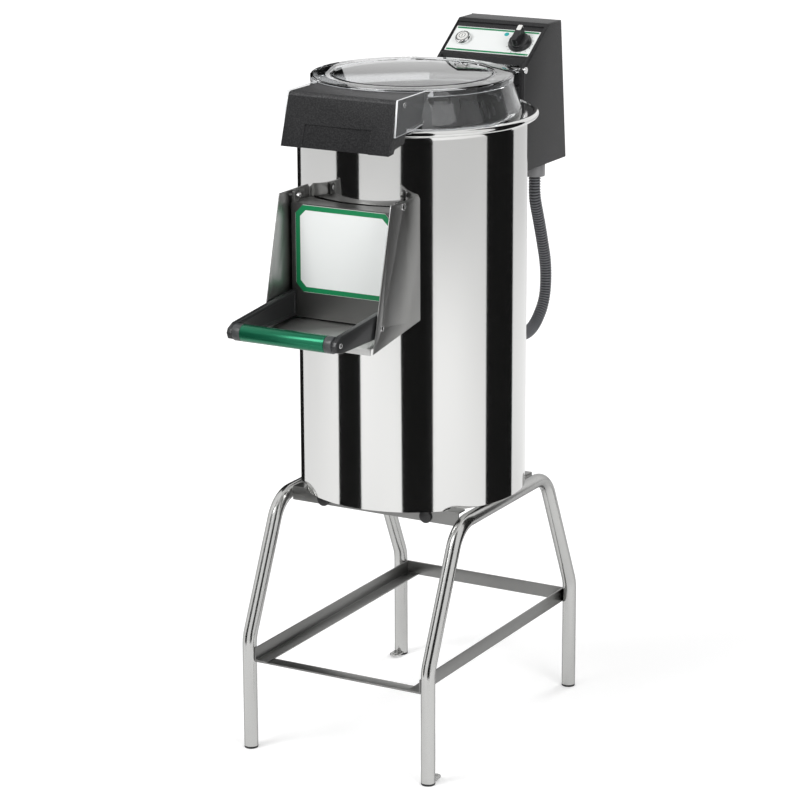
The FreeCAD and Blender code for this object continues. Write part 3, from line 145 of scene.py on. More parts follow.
def finish(name, color, metallic=0.0, rough=(0.4, 0.4), grain=None, depth=0.0, fleck=None,
           **extra):
    """rough is the lowest and highest roughness, grain the noise scale along X, Y and Z.

    fleck is the colour that the grain's high spots take."""
    material = bpy.data.materials.new(name)
    material.use_nodes = True
    tree = material.node_tree
    shader = tree.nodes["Principled BSDF"]
    shader.inputs["Base Color"].default_value = (*color, 1.0)
    shader.inputs["Metallic"].default_value = metallic
    shader.inputs["Roughness"].default_value = sum(rough) / 2
    for socket, value in extra.items():
        shader.inputs[socket.replace("_", " ")].default_value = value
    if grain:
        texture = tree.nodes.new("ShaderNodeGroup")
        texture.node_tree = GRAIN
        for socket, value in zip(GRAIN_SOCKETS, (*grain, *rough)):
            texture.inputs[socket].default_value = value
        tree.links.new(texture.outputs["Roughness"], shader.inputs["Roughness"])
        if fleck:
            two_colours(material, texture.outputs["Height"], FLECK_FROM, FLECK_TO, fleck)
        if depth:
            bump = add_node(tree, "ShaderNodeBump",
                            {"Strength": 1.0, "Distance": depth,
                             "Height": texture.outputs["Height"]})
            tree.links.new(bump.outputs["Normal"], shader.inputs["Normal"])
    material.diffuse_color = (*color, 1.0)
    return material


# %% [markdown]
# The drum is polished steel with a faint grain that runs round it: the noise is therefore
# slow across and fast upwards. The chute is satin sheet whose colour is set darker as a painted
# reflection of the dark room, and the door is darker satin sheet. The stand is bright tube with
# duller bars, whose darker colour is also a painted reflection. Black mouldings have a fine
# leather-like grain, which is a fast noise in all three directions with a little bump and paler
# high spots. The lid is clear plastic, tinted like thin smoke.

# %% The finishes
drum_steel = finish("drum_steel", (0.70, 0.70, 0.69), 1.0, (0.05, 0.10), (6, 6, 900))
sheet_steel = finish("sheet_steel", (0.62, 0.62, 0.61), 1.0, (0.40, 0.50), (900, 12, 12))
# The chute's colour is set darker than sheet_steel: a painted reflection of the dark room.
chute_steel = finish("chute_steel", (0.44, 0.44, 0.435), 1.0, (0.30, 0.38), (12, 700, 12))
door_steel = finish("door_steel", (0.115, 0.115, 0.112), 0.75, (0.30, 0.40), (12, 12, 700))
stand_steel = finish("stand_steel", (0.56, 0.56, 0.55), 1.0, (0.15, 0.23), (160, 160, 160))
# The bars are duller steel, and their darker colour is also a painted reflection of the dark room.
bar_steel = finish("bar_steel", (0.25, 0.25, 0.245), 1.0, (0.30, 0.38), (160, 160, 160))
bright_metal = finish("bright_metal", (0.82, 0.82, 0.82), 1.0, (0.10, 0.16))
black_grain = finish("black_grain", (0.013, 0.013, 0.014), 0.0, (0.36, 0.56),
                     (430, 430, 430), 0.0007, (0.058, 0.058, 0.060), Specular_IOR_Level=0.34)
charcoal_grain = finish("charcoal_grain", (0.012, 0.012, 0.013), 0.0, (0.38, 0.55),
                        (520, 520, 520), 0.0004, (0.032, 0.032, 0.033),
                        Specular_IOR_Level=0.32)
grip_black = finish("grip_black", (0.008, 0.008, 0.009), 0.0, (0.40, 0.55), (430, 430, 430),
                    0.0004, (0.024, 0.024, 0.025), Specular_IOR_Level=0.20)
smooth_black = finish("smooth_black", (0.018, 0.018, 0.019), 0.0, (0.28, 0.34))
dark_ends = finish("dark_ends", (0.050, 0.053, 0.055), 0.0, (0.30, 0.38))
arm_black = finish("arm_black", (0.032, 0.033, 0.034), 0.35, (0.26, 0.34), (500, 20, 500))
soft_rubber = finish("soft_rubber", (0.025, 0.025, 0.025), 0.0, (0.6, 0.7))
clear_lid = finish("clear_lid", (0.80, 0.81, 0.82), 0.0, (0.03, 0.03),
                   Transmission_Weight=1.0, IOR=1.38)
clear_ear = finish("clear_ear", (0.55, 0.56, 0.57), 0.0, (0.08, 0.08), Alpha=0.16)
# An opaque pale finish for the edges of the clear ears: a painted highlight where the clear edges catch the light.
painted_edge_highlight = finish("painted_edge_highlight", (0.82, 0.83, 0.84), 0.0, (0.10, 0.10))
white_plate = finish("white_plate", (0.84, 0.86, 0.85), 0.0, (0.28, 0.34))
green_print = finish("green_print", (0.004, 0.215, 0.075), 0.0, (0.28, 0.34))
green_anodised = finish("green_anodised", (0.008, 0.15, 0.075), 0.65, (0.22, 0.30),
                        (20, 700, 700))
teal_print = finish("teal_print", (0.02, 0.42, 0.42), 0.0, (0.3, 0.3))
ink = finish("ink", (0.02, 0.02, 0.02), 0.0, (0.4, 0.4))
pale_plastic = finish("pale_plastic", (0.78, 0.78, 0.76), 0.0, (0.3, 0.36))
grit = finish("grit", (0.10, 0.10, 0.098), 0.0, (0.8, 0.95), (500, 500, 500), 0.0012)
gland_grey = finish("gland_grey", (0.24, 0.24, 0.245), 0.0, (0.34, 0.42))
hose_grey = finish("hose_grey", (0.165, 0.168, 0.180), 0.0, (0.24, 0.32))
# The core between the ribs is near black: painted shade in the grooves.
painted_groove_shade = finish("painted_groove_shade", (0.030, 0.031, 0.034), 0.0, (0.5, 0.5))
cast_iron = finish("cast_iron", (0.16, 0.16, 0.165), 0.85, (0.5, 0.62), (300, 300, 300), 0.0004)
motor_paint = finish("motor_paint", (0.06, 0.13, 0.25), 0.0, (0.36, 0.42))
print("finishes", len(bpy.data.materials))

# %% [markdown]
# A bright tube mirrors the dark parts of a room along its sides. Here that dark line is a painted
# reflection: a Layer Weight node darkens the colour of the stand's tubes where they turn away
# from the eye.

# %% A painted reflection: darker edges on the stand's tubes
def painted_edge_reflection(material, reflected_dark_color, start=0.42, end=0.92):
    # Painted reflection: the base colour goes dark towards the edges that turn away from the eye.
    facing = add_node(material.node_tree, "ShaderNodeLayerWeight", {"Blend": 0.5})
    two_colours(material, facing.outputs["Facing"], start, end, reflected_dark_color)


# The stand's tubes get the painted dark reflection along their edges.
painted_edge_reflection(stand_steel, (0.05, 0.05, 0.05))
print("darker edges on", stand_steel.name)

# %% [markdown]
# Every node of the frame gets a finish from its material slot in the record, and the few
# nodes whose slot covers two looks are named one by one. The frame's own meshes are not
# touched: only the material slot of each object changes.

# %% Dress the frame's own nodes
slot_finish = {
    "stand_steel": stand_steel, "drum_steel": drum_steel, "bright_metal": bright_metal,
    "black_plastic": smooth_black, "abrasive": grit, "soft_rubber": soft_rubber,
    "clear_plastic": clear_lid, "charcoal_plastic": charcoal_grain, "white_plate": white_plate,
    "pale_button": pale_plastic, "green_aluminium": green_anodised, "dark_ends": dark_ends,
    "grey_plastic": gland_grey, "cast_parts": cast_iron, "motor_paint": motor_paint,
}
node_finish = {
    "lid_cover": black_grain, "chute_side_left": chute_steel, "chute_side_right": chute_steel,
    "chute_floor": sheet_steel, "door_shell": door_steel, "handle_arm_left": arm_black,
    "handle_arm_right": arm_black, "timer_knob": smooth_black, "box_bracket": sheet_steel,
    "rail_front": bar_steel, "rail_rear": bar_steel, "shelf_angle_left": bar_steel,
    "shelf_angle_right": bar_steel, "shelf_strip_front": bar_steel,
    "shelf_strip_rear": bar_steel,
}
node_slot = {part["node"]: part["material_slot"] for part in frame["record"]["subparts"]}


def wear(obj, material):
    obj.data.materials.clear()
    obj.data.materials.append(material)


for name, node in frame["nodes"].items():
    wear(node, node_finish.get(name) or slot_finish.get(node_slot[name], pale_plastic))
print("dressed", len(frame["nodes"]), "nodes")

# %% [markdown]
# A real moulding or folded sheet has no knife edges: a small round catches the light along
# every edge. A copy of the node's mesh is merged and its flat triangles are joined, then a
# Bevel modifier rounds its sharp edges. The copy replaces the node.

# %% Softened copies of sharp nodes
SHARP = math.radians(32)
FLAT = math.radians(0.6)
WELD_DISTANCE = 2e-6


def body_holding(node):
    return next(body for body, members in frame["record"]["behaviour"]["bodies"].items()
                if node in members)


def add_mesh(name, bm, material, body):
    """A mesh object at the origin that wears one finish and rides on one body."""
    mesh = bpy.data.meshes.new(name)
    bm.to_mesh(mesh)
    bm.free()
    mesh.materials.append(material)
    obj = bpy.data.objects.new(name, mesh)
    bpy.context.scene.collection.objects.link(obj)
    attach(obj, body)
    return obj


def baked(obj):
    """Turns the object's modifiers into plain mesh and removes them."""
    graph = bpy.context.evaluated_depsgraph_get()
    mesh = bpy.data.meshes.new_from_object(obj.evaluated_get(graph))
    obj.modifiers.clear()
    obj.data = mesh


def smooth(mesh):
    mesh.shade_smooth()
    mesh.set_sharp_from_angle(angle=SHARP)


def softened(node, width):
    """A welded copy of a node with its sharp edges rounded, which stands in for the node."""
    source = frame["nodes"][node]
    bm = bmesh.new()
    bm.from_mesh(source.data)
    bmesh.ops.remove_doubles(bm, verts=bm.verts, dist=WELD_DISTANCE)
    bmesh.ops.dissolve_limit(bm, angle_limit=FLAT, verts=bm.verts, edges=bm.edges)
    obj = add_mesh(node + "_soft", bm, source.data.materials[0], body_holding(node))
    if width:
        bevel = obj.modifiers.new("edge_round", "BEVEL")
        bevel.width = width
        bevel.segments = 3
        bevel.limit_method = "ANGLE"
        bevel.angle_limit = SHARP
        bevel.harden_normals = False
        baked(obj)
    smooth(obj.data)
    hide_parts(node)
    return obj


EDGE_ROUNDS = {
    "lid_cover": 1.0, "box_housing": 0.8, "box_rear_cover": 0.4, "handle_arm_left": 1.3,
    "handle_arm_right": 1.3, "door_shell": 0.5, "chute_side_left": 0.3, "chute_side_right": 0.3,
    "chute_floor": 0.3, "rail_front": 0.4, "rail_rear": 0.4, "shelf_angle_left": 0.4,
    "shelf_angle_right": 0.4, "shelf_strip_front": 0.5, "shelf_strip_rear": 0.5,
    "tube_end_plugs": 1.0, "handle_end_caps": 1.6, "cable_glands": 1.0, "floor_lugs": 0.4,
    "button_bezel": 0.6, "disc_cap": 1.2, "rail_caps": 2.0, "box_bracket": 0.5,
    "motor_body": 4.0, "drum_shell": 0.0, "stand_tube_left": 0.0, "stand_tube_right": 0.0,
    "handle_tube": 0.3, "lid_shell": 0.5, "abrasive_disc": 1.0, "door_hinge_pins": 0.6,
    "chute_screws": 0.6, "lid_cover_screws": 0.6, "lid_hinge_rod": 0.6, "drain_pipe": 0.4,
}
soft = {node: softened(node, width * MM) for node, width in EDGE_ROUNDS.items()}
print("softened", len(soft), "nodes")

# %% Two finishes on one moulding
EAR_INNER, EAR_FRONT = 103.8 * MM, -141 * MM
GRIP_HALF, GRIP_HEIGHT = 64.2 * MM, 39 * MM


def second_finish(obj, material, chosen):
    """Gives the faces that chosen picks by centre and normal another finish."""
    obj.data.materials.append(material)
    number = len(obj.data.materials) - 1
    count = 0
    for face in obj.data.polygons:
        if chosen(face.center - Vector((0, AXIS_Y, 0)), face.normal):
            face.material_index = number
            count += 1
    return count


cover_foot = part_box("lid_cover")[0].z
ear_faces = second_finish(soft["lid_shell"], clear_ear,
                          lambda place, way: abs(place.x) > EAR_INNER and place.y < EAR_FRONT
                          and abs(way.x) > 0.5)
# The ears' edge faces get the opaque pale painted highlight.
highlight_edge_faces = second_finish(soft["lid_shell"], painted_edge_highlight,
                           lambda place, way: abs(place.x) > EAR_INNER and place.y < EAR_FRONT
                           and abs(way.x) <= 0.5)
grip_faces = second_finish(soft["lid_cover"], grip_black,
                           lambda place, way: abs(place.x) < GRIP_HALF and way.y < -0.5
                           and place.z < cover_foot + GRIP_HEIGHT)
print("ear faces", ear_faces, "edge faces", highlight_edge_faces, "grip faces", grip_faces)

# %% [markdown]
# ## Turned pieces
# The rim, the knob and the button are turned shapes: one outline goes once round an axis. The
# outline is given as radius and height, a short function sets it round Z in even steps, and
# a matrix then lays the finished mesh where it belongs.

# %% Small helpers for node trees
def new_tree(name, inputs):
    """A geometry tree with a geometry output and named inputs: name, kind and default."""
    tree = bpy.data.node_groups.new(name, "GeometryNodeTree")
    tree.interface.new_socket("Geometry", in_out="INPUT", socket_type="NodeSocketGeometry")
    for label, kind, default in inputs:
        socket = tree.interface.new_socket(label, in_out="INPUT", socket_type=kind)
        if default is not None:
            socket.default_value = default
    tree.interface.new_socket("Geometry", in_out="OUTPUT", socket_type="NodeSocketGeometry")
    return tree


def run_tree(obj, tree, values):
    """Runs a tree on an object once and keeps its result as a plain mesh."""
    modifier = obj.modifiers.new(tree.name, "NODES")
    modifier.node_group = tree
    for item in tree.interface.items_tree:
        if item.in_out == "INPUT" and item.name in values:
            modifier[item.identifier] = values[item.name]
    graph = bpy.context.evaluated_depsgraph_get()
    mesh = bpy.data.meshes.new_from_object(obj.evaluated_get(graph))
    obj.modifiers.clear()
    return mesh


def place(name, mesh, body, slot, matrix=None, replaced=()):
    """A finished mesh laid with a matrix, which rides on a body and may replace nodes."""
    if matrix is not None:
        mesh.transform(matrix)
    obj = bpy.data.objects.new(name, mesh)
    bpy.context.scene.collection.objects.link(obj)
    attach(obj, body)
    if replaced:
        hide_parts(*replaced)
    return obj


def as_seed(name, mesh):
    """An object that only carries a mesh into a tree."""
    seed = bpy.data.objects.new(name, mesh)
    bpy.context.scene.collection.objects.link(seed)
    return seed


def drop(seed):
    bpy.data.objects.remove(seed)


# %% A lathe
def lathe_mesh(outline, material, sides=96):
    """Turns a closed outline of (radius, height) corners in millimetres about Z."""
    bm = bmesh.new()
    rings = []
    for index in range(sides):
        angle = 2 * math.pi * index / sides
        rings.append([bm.verts.new((radius * MM * math.cos(angle), radius * MM * math.sin(angle),
                                    height * MM)) for radius, height in outline])
    count = len(outline)
    for index in range(sides):
        here, after = rings[index], rings[(index + 1) % sides]
        for corner in range(count):
            following = (corner + 1) % count
            bm.faces.new((here[corner], after[corner], after[following], here[following]))
    bmesh.ops.remove_doubles(bm, verts=bm.verts, dist=1e-6)
    bmesh.ops.dissolve_degenerate(bm, edges=bm.edges, dist=1e-7)
    bmesh.ops.recalc_face_normals(bm, faces=bm.faces)
    mesh = bpy.data.meshes.new("turned")
    bm.to_mesh(mesh)
    bm.free()
    mesh.materials.append(material)
    smooth(mesh)
    return mesh


def arc(centre, radius, start, stop, steps=8):
    """Points on an arc in the outline's plane, with angles in degrees from the outward way."""
    points = []
    for step in range(steps + 1):
        angle = math.radians(start + (stop - start) * step / steps)
        points.append((centre[0] + radius * math.cos(angle), centre[1] + radius * math.sin(angle)))
    return points


# %% [markdown]
# The rim is a spun bead: the sheet flares out of the drum wall, rolls over a round edge and
# steps down to the seat of the lid. The solid under it has the same steps with flat sides.

# %% The rim bead
rim_top = rim_high.z / MM
rim_foot = rim_low.z / MM
rim_out = RIM_RADIUS / MM
wall_out = DRUM_RADIUS / MM
seat = rim_top - 2.4
rim_outline = [(wall_out - 1.4, rim_foot), (wall_out, rim_foot)]
rim_outline += arc((wall_out + 14, rim_foot + 0.4), 14, 178, 150, 3)[1:]
rim_outline += arc((rim_out - 5.9, rim_top - 5.9), 5.7, -60, 90, 10)
rim_outline += [(rim_out - 8.5, rim_top - 0.2), (rim_out - 10.2, seat), (184.2, seat),
                (184.2, seat - 3.6), (wall_out - 1.4, seat - 5.8)]
rim_mesh = lathe_mesh(rim_outline, drum_steel, 160)
place("rim_bead", rim_mesh, "stand", "drum_steel", Matrix.Translation(at(0, 0, 0)),
      ("drum_rim",))
print("rim faces", len(rim_mesh.polygons))

# %% [markdown]
# ## The control panel
# The panel leans back on the box, so its pieces are drawn flat and laid on it with a matrix.
# The timer joint already holds the place of the knob and the way the panel faces, so the
# matrix is read from the joint.

# %% The panel's own axes
timer_joint, start_joint = joints["timer_turn"], joints["start_press"]
panel_normal = Vector(timer_joint["axis"]).normalized()
panel_up = panel_normal.cross(X_AXIS)


def on_panel(joint):
    """The matrix that lays a piece drawn flat about a control on the leaning panel."""
    turn = Matrix((X_AXIS, panel_up, panel_normal)).transposed().to_4x4()
    return Matrix.Translation(Vector(joint["pos_m"])) @ turn


timer_place, start_place = on_panel(timer_joint), on_panel(start_joint)
PANEL_FACE = -2.0
panel_middle = (timer_place.translation + start_place.translation) / 2
print("panel leans", round(math.degrees(panel_normal.angle(Z_AXIS)), 1), "degrees")


def flat_plate(name, outline, low, high, material, body, slot, matrix, holes=()):
    """A plate cut to an outline given in millimetres, as thick as low to high."""
    bm = bmesh.new()
    loops = [outline, *holes]
    edges = []
    for loop in loops:
        verts = [bm.verts.new((x * MM, y * MM, low * MM)) for x, y in loop]
        edges += [bm.edges.new((verts[i], verts[(i + 1) % len(verts)])) for i in range(len(verts))]
    if holes:
        bmesh.ops.triangle_fill(bm, edges=edges, use_beauty=True)
    else:
        bm.faces.new([edge.verts[0] for edge in edges])
    grown = bmesh.ops.extrude_face_region(bm, geom=list(bm.faces))
    verts = [item for item in grown["geom"] if isinstance(item, bmesh.types.BMVert)]
    bmesh.ops.translate(bm, vec=(0, 0, (high - low) * MM), verts=verts)
    bmesh.ops.recalc_face_normals(bm, faces=bm.faces)
    mesh = bpy.data.meshes.new(name)
    bm.to_mesh(mesh)
    bm.free()
    mesh.materials.append(material)
    smooth(mesh)
    return place(name, mesh, body, slot, matrix)


def round_corners(half_width, low, high, radius, steps=5):
    """A rectangle with round corners, from -half_width to half_width across."""
    corners = ((half_width - radius, high - radius, 0), (-half_width + radius, high - radius, 90),
               (-half_width + radius, low + radius, 180), (half_width - radius, low + radius, 270))
    outline = []
    for x, y, start in corners:
        outline += arc((x, y), radius, start, start + 90, steps)
    return outline


def ring_outline(radius, steps=40):
    return arc((0, 0), radius, 0, 360 - 360 / steps, steps - 1)


# %% Bands, ticks and dots on the panel
middle_place = timer_place.copy()
middle_place.translation = panel_middle - X_AXIS * panel_middle.x
label_low, label_high = -30.0, 33.0
for name, low, high in (("panel_band_top", label_high - 5.5, label_high - 1.5),
                        ("panel_band_foot", label_low + 1.5, label_low + 5.5)):
    flat_plate(name, round_corners(83, low, high, 1.2), PANEL_FACE - 0.05, PANEL_FACE + 0.12,
               green_print, "stand", "white_plate", middle_place)
dot_place = middle_place.copy()
dot_place.translation = middle_place @ Vector((21 * MM, 21 * MM, 0))
flat_plate("panel_dot", ring_outline(4.6, 24), PANEL_FACE - 0.05, PANEL_FACE + 0.2, teal_print,
           "stand", "white_plate", dot_place)

tick_tree = new_tree("dial_ticks", (("Ticks", "NodeSocketInt", 13),
                                    ("Ring radius", "NodeSocketFloat", 0.025),
                                    ("Tick length", "NodeSocketFloat", 0.003),
                                    ("Tick width", "NodeSocketFloat", 0.0006),
                                    ("Height", "NodeSocketFloat", 0.0002),
                                    ("Finish", "NodeSocketMaterial", None)))
entry = add_node(tick_tree, "NodeGroupInput")
dial = add_node(tick_tree, "GeometryNodeMeshCircle", {"Vertices": entry.outputs["Ticks"],
                                                      "Radius": entry.outputs["Ring radius"]})
tick_size = add_node(tick_tree, "ShaderNodeCombineXYZ", {"X": entry.outputs["Tick length"],
                                                         "Y": entry.outputs["Tick width"],
                                                         "Z": entry.outputs["Height"]})
tick_block = add_node(tick_tree, "GeometryNodeMeshCube", {"Size": tick_size.outputs[0]})
where = add_node(tick_tree, "GeometryNodeInputPosition")
outward = add_node(tick_tree, "FunctionNodeAlignRotationToVector",
                   {"Vector": where.outputs[0]}, axis="X")
spread = add_node(tick_tree, "GeometryNodeInstanceOnPoints",
                  {"Points": dial.outputs[0], "Instance": tick_block.outputs[0],
                   "Rotation": outward.outputs[0]})
real = add_node(tick_tree, "GeometryNodeRealizeInstances", {"Geometry": spread.outputs[0]})
painted = add_node(tick_tree, "GeometryNodeSetMaterial",
                   {"Geometry": real.outputs[0], "Material": entry.outputs["Finish"]})
add_node(tick_tree, "NodeGroupOutput", {"Geometry": painted.outputs[0]})
tick_seed = as_seed("tick_seed", bpy.data.meshes.new("tick_seed"))
tick_mesh = run_tree(tick_seed, tick_tree, {"Ticks": 16, "Ring radius": 24.6 * MM,
                                            "Tick length": 2.4 * MM, "Tick width": 0.7 * MM,
                                            "Height": 0.2 * MM, "Finish": ink})
drop(tick_seed)
raised = timer_place @ Matrix.Translation((0, 0, (PANEL_FACE + 0.08) * MM))
dial_ticks = place("dial_ticks", tick_mesh, "stand", "white_plate", raised)
print("ticks", len(dial_ticks.data.polygons) // 6)

# %% [markdown]
# The timer knob is a moulded skirt with a grip bar across it. The bar is a box with rounded
# ends, and its pale end tells where the knob points. The button stands in a bright collar,
# and a thin black ring between the two is painted shade in the gap.

# %% The timer knob
knob_low = PANEL_FACE + 0.5
skirt_outline = [(0, knob_low), (21.8, knob_low), (21.8, knob_low + 3.4)]
skirt_outline += arc((19.6, knob_low + 3.6), 2.2, 0, 60, 3)
skirt_outline += [(18.8, knob_low + 8.4)] + arc((16.8, knob_low + 8.6), 2.0, 10, 90, 4)
skirt_outline += [(0, knob_low + 10.7)]
skirt_mesh = lathe_mesh(skirt_outline, smooth_black, 72)
place("knob_skirt", skirt_mesh, "timer", "charcoal_plastic", timer_place, ("timer_knob",))
grip_top = knob_low + 25.5
flat_plate("knob_grip", round_corners(5.6, -17.8, 20.6, 4.5), knob_low + 6, grip_top,
           smooth_black, "timer", "charcoal_plastic", timer_place)
flat_plate("knob_pointer", round_corners(4.4, 8.0, 21.2, 2.0), grip_top - 5.0, grip_top + 0.4,
           pale_plastic, "timer", "charcoal_plastic", timer_place)
stem_outline = [(0, -27.5), (2.9, -27.5), (2.9, knob_low + 1), (0, knob_low + 1)]
place("knob_stem", lathe_mesh(stem_outline, bright_metal, 24), "timer", "charcoal_plastic",
      timer_place)

# %% The button, its printed mark and a painted shade ring round it
# A thin black ring on top of the collar, round the button: painted shade in the gap.
gap_shade_outline = [(11.2, PANEL_FACE + 8.9), (12.6, PANEL_FACE + 8.9), (12.6, PANEL_FACE + 9.15),
               (11.2, PANEL_FACE + 9.15)]
place("button_ring", lathe_mesh(gap_shade_outline, ink, 48), "stand", "bright_metal", start_place)
cap_top = PANEL_FACE + 10.5
mark_ring = [(5.4, cap_top - 0.1), (6.4, cap_top - 0.1), (6.4, cap_top + 0.05),
             (5.4, cap_top + 0.05)]
place("button_mark", lathe_mesh(mark_ring, ink, 40), "start", "pale_button", start_place)
flat_plate("button_bar", round_corners(0.5, -3.4, 3.4, 0.4), cap_top - 0.1, cap_top + 0.05, ink,
           "start", "pale_button", start_place)

# %% [markdown]
# ## The door label and the handle
# The label on the door is a white plate with cut corners inside a green border. The maker's
# sign on the real one is left out, so the white field stays bare. Only the border is added
# here, as a thin frame just proud of the plate.

# %% The label's border
label_box_low, label_box_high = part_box("door_label")
door_turn = Matrix((X_AXIS, Z_AXIS, -Y_AXIS)).transposed().to_4x4()


def cut_corner_outline(half_width, low, high, cut):
    return [(half_width - cut, low), (half_width, low + cut), (half_width, high - cut),
            (half_width - cut, high), (-half_width + cut, high), (-half_width, high - cut),
            (-half_width, low + cut), (-half_width + cut, low)]


label_half = label_box_high.x / MM
label_foot, label_head = label_box_low.z / MM, label_box_high.z / MM
label_face = -label_box_low.y / MM
border = 9.0
edge_inset = 0.5
outer_line = cut_corner_outline(label_half - edge_inset, label_foot + edge_inset,
                                label_head - edge_inset, 14)
inner_line = cut_corner_outline(label_half - border, label_foot + border, label_head - border,
                                11)
flat_plate("label_border", outer_line, label_face - 0.1, label_face + 0.2, green_print, "door",
           "white_plate", door_turn, [inner_line])
print("label", round(2 * label_half), "by", round(label_head - label_foot), "mm")

# %% [markdown]
# ## The ribbed conduit
# A ribbed hose carries the wires from the box to the drum. Its centre line is a set of
# straight runs joined by bends. The ribs are one small ring, which a tree sets on points
# along the line, over a core tube coloured near black as painted shade in the grooves
# between the ribs.

# %% The centre line
HOSE_X = 60
BOX_GLAND = (353, 946)
DRUM_GLAND = (224.2, 655)
corner_line = [BOX_GLAND, (353, 906), (378, 843), (404, 765), (400, 700), (350, 655), DRUM_GLAND]
BEND_SHARE = 0.45


def bent_line(corners, share, steps=10):
    """Straight runs with an arc at each inner corner, in the plane of the corners."""
    line = [Vector(corners[0])]
    for before, corner, after in zip(corners, corners[1:], corners[2:]):
        corner = Vector(corner)
        to_start = (Vector(before) - corner)
        to_end = (Vector(after) - corner)
        reach = share * min(to_start.length, to_end.length)
        first = corner + to_start.normalized() * reach
        last = corner + to_end.normalized() * reach
        for step in range(steps + 1):
            t = step / steps
            blend = first * (1 - t) ** 2 + corner * 2 * t * (1 - t) + last * t ** 2
            line.append(blend)
    line.append(Vector(corners[-1]))
    return line


hose_line = [at(HOSE_X, point.x, point.y) for point in bent_line(corner_line, BEND_SHARE)]
hose_length = sum((b - a).length for a, b in zip(hose_line, hose_line[1:]))
print("hose length %.0f mm" % (hose_length / MM))


def curve_seed(name, points):
    data = bpy.data.curves.new(name, "CURVE")
    data.dimensions = "3D"
    line = data.splines.new("POLY")
    line.points.add(len(points) - 1)
    for slot_point, point in zip(line.points, points):
        slot_point.co = (*point, 1.0)
    return as_seed(name, data)


# %% The tree that sets ribs along a line
hose_tree = new_tree("ribbed_hose", (("Ribs", "NodeSocketInt", 100),
                                     ("Core radius", "NodeSocketFloat", 0.010),
                                     ("Rib radius", "NodeSocketFloat", 0.0115),
                                     ("Rib thickness", "NodeSocketFloat", 0.001),
                                     ("Finish", "NodeSocketMaterial", None),
                                     ("Painted groove shade", "NodeSocketMaterial", None)))
entry = add_node(hose_tree, "NodeGroupInput")
fine_line = add_node(hose_tree, "GeometryNodeResampleCurve", {"Curve": entry.outputs[0],
                                                              "Count": 160})
core_ring = add_node(hose_tree, "GeometryNodeCurvePrimitiveCircle",
                     {"Resolution": 28, "Radius": entry.outputs["Core radius"]})
core = add_node(hose_tree, "GeometryNodeCurveToMesh",
                {"Curve": fine_line.outputs[0], "Profile Curve": core_ring.outputs[0],
                 "Fill Caps": False})
# The core tube wears the near-black painted shade of the grooves.
painted_shade_core = add_node(hose_tree, "GeometryNodeSetMaterial",
                     {"Geometry": core.outputs[0], "Material": entry.outputs["Painted groove shade"]})
rib_line = add_node(hose_tree, "GeometryNodeCurvePrimitiveCircle",
                    {"Resolution": 28, "Radius": entry.outputs["Rib radius"]})
rib_section = add_node(hose_tree, "GeometryNodeCurvePrimitiveCircle",
                       {"Resolution": 6, "Radius": entry.outputs["Rib thickness"]})
rib = add_node(hose_tree, "GeometryNodeCurveToMesh",
               {"Curve": rib_line.outputs[0], "Profile Curve": rib_section.outputs[0]})
pale_rib = add_node(hose_tree, "GeometryNodeSetMaterial",
                    {"Geometry": rib.outputs[0], "Material": entry.outputs["Finish"]})
stations = add_node(hose_tree, "GeometryNodeCurveToPoints",
                    {"Curve": entry.outputs[0], "Count": entry.outputs["Ribs"]})
ribs = add_node(hose_tree, "GeometryNodeInstanceOnPoints",
                {"Points": stations.outputs["Points"], "Instance": pale_rib.outputs[0],
                 "Rotation": stations.outputs["Rotation"]})
whole = add_node(hose_tree, "GeometryNodeJoinGeometry")
hose_tree.links.new(painted_shade_core.outputs[0], whole.inputs[0])
hose_tree.links.new(ribs.outputs[0], whole.inputs[0])
real = add_node(hose_tree, "GeometryNodeRealizeInstances", {"Geometry": whole.outputs[0]})
even = add_node(hose_tree, "GeometryNodeSetShadeSmooth", {"Geometry": real.outputs[0]})
add_node(hose_tree, "NodeGroupOutput", {"Geometry": even.outputs[0]})

hose_seed = curve_seed("hose_seed", hose_line)
hose_mesh = run_tree(hose_seed, hose_tree, {"Ribs": 84, "Core radius": 9.9 * MM,
                                            "Rib radius": 10.1 * MM, "Rib thickness": 1.4 * MM,
                                            "Finish": hose_grey, "Painted groove shade": painted_groove_shade})
drop(hose_seed)
place("ribbed_hose", hose_mesh, "stand", "grey_plastic", None, ("conduit",))
print("hose triangles", sum(len(face.vertices) - 2 for face in hose_mesh.polygons))

# %% [markdown]
# ## Screws
# Small screws hold the cover, the side plates and the handle. Each is the same round head
# with a hexagon socket, and a tree sets one on every point of a seed mesh, turned to the
# way that the point's wall faces.

# %% The screw head and the tree that spreads it
def screw_head(radius, height, socket_radius):
    """A low round head with a hexagon socket, standing on the XY plane."""
    bm = bmesh.new()
    outline = [(0, 0), (radius, 0), (radius, height * 0.45)]
    outline += arc((radius - height * 0.5, height * 0.5), height * 0.5, 10, 90, 3)
    sides = 18
    rings = []
    for r, z in outline[1:]:
        rings.append([bm.verts.new((r * MM * math.cos(2 * math.pi * i / sides),
                                    r * MM * math.sin(2 * math.pi * i / sides), z * MM))
                      for i in range(sides)])
    lip = [bm.verts.new((socket_radius * MM * math.cos(math.tau * i / sides),
                         socket_radius * MM * math.sin(math.tau * i / sides), height * MM))
           for i in range(sides)]
    well = [bm.verts.new((vert.co.x, vert.co.y, height * 0.35 * MM)) for vert in lip]
    rings += [lip, well]
    for lower, upper in zip(rings, rings[1:]):
        for i in range(sides):
            bm.faces.new((lower[i], lower[(i + 1) % sides], upper[(i + 1) % sides], upper[i]))
    bm.faces.new(well)
    bm.faces.new(list(reversed(rings[0])))
    bmesh.ops.recalc_face_normals(bm, faces=bm.faces)
    mesh = bpy.data.meshes.new("screw_head")
    bm.to_mesh(mesh)
    bm.free()
    return mesh


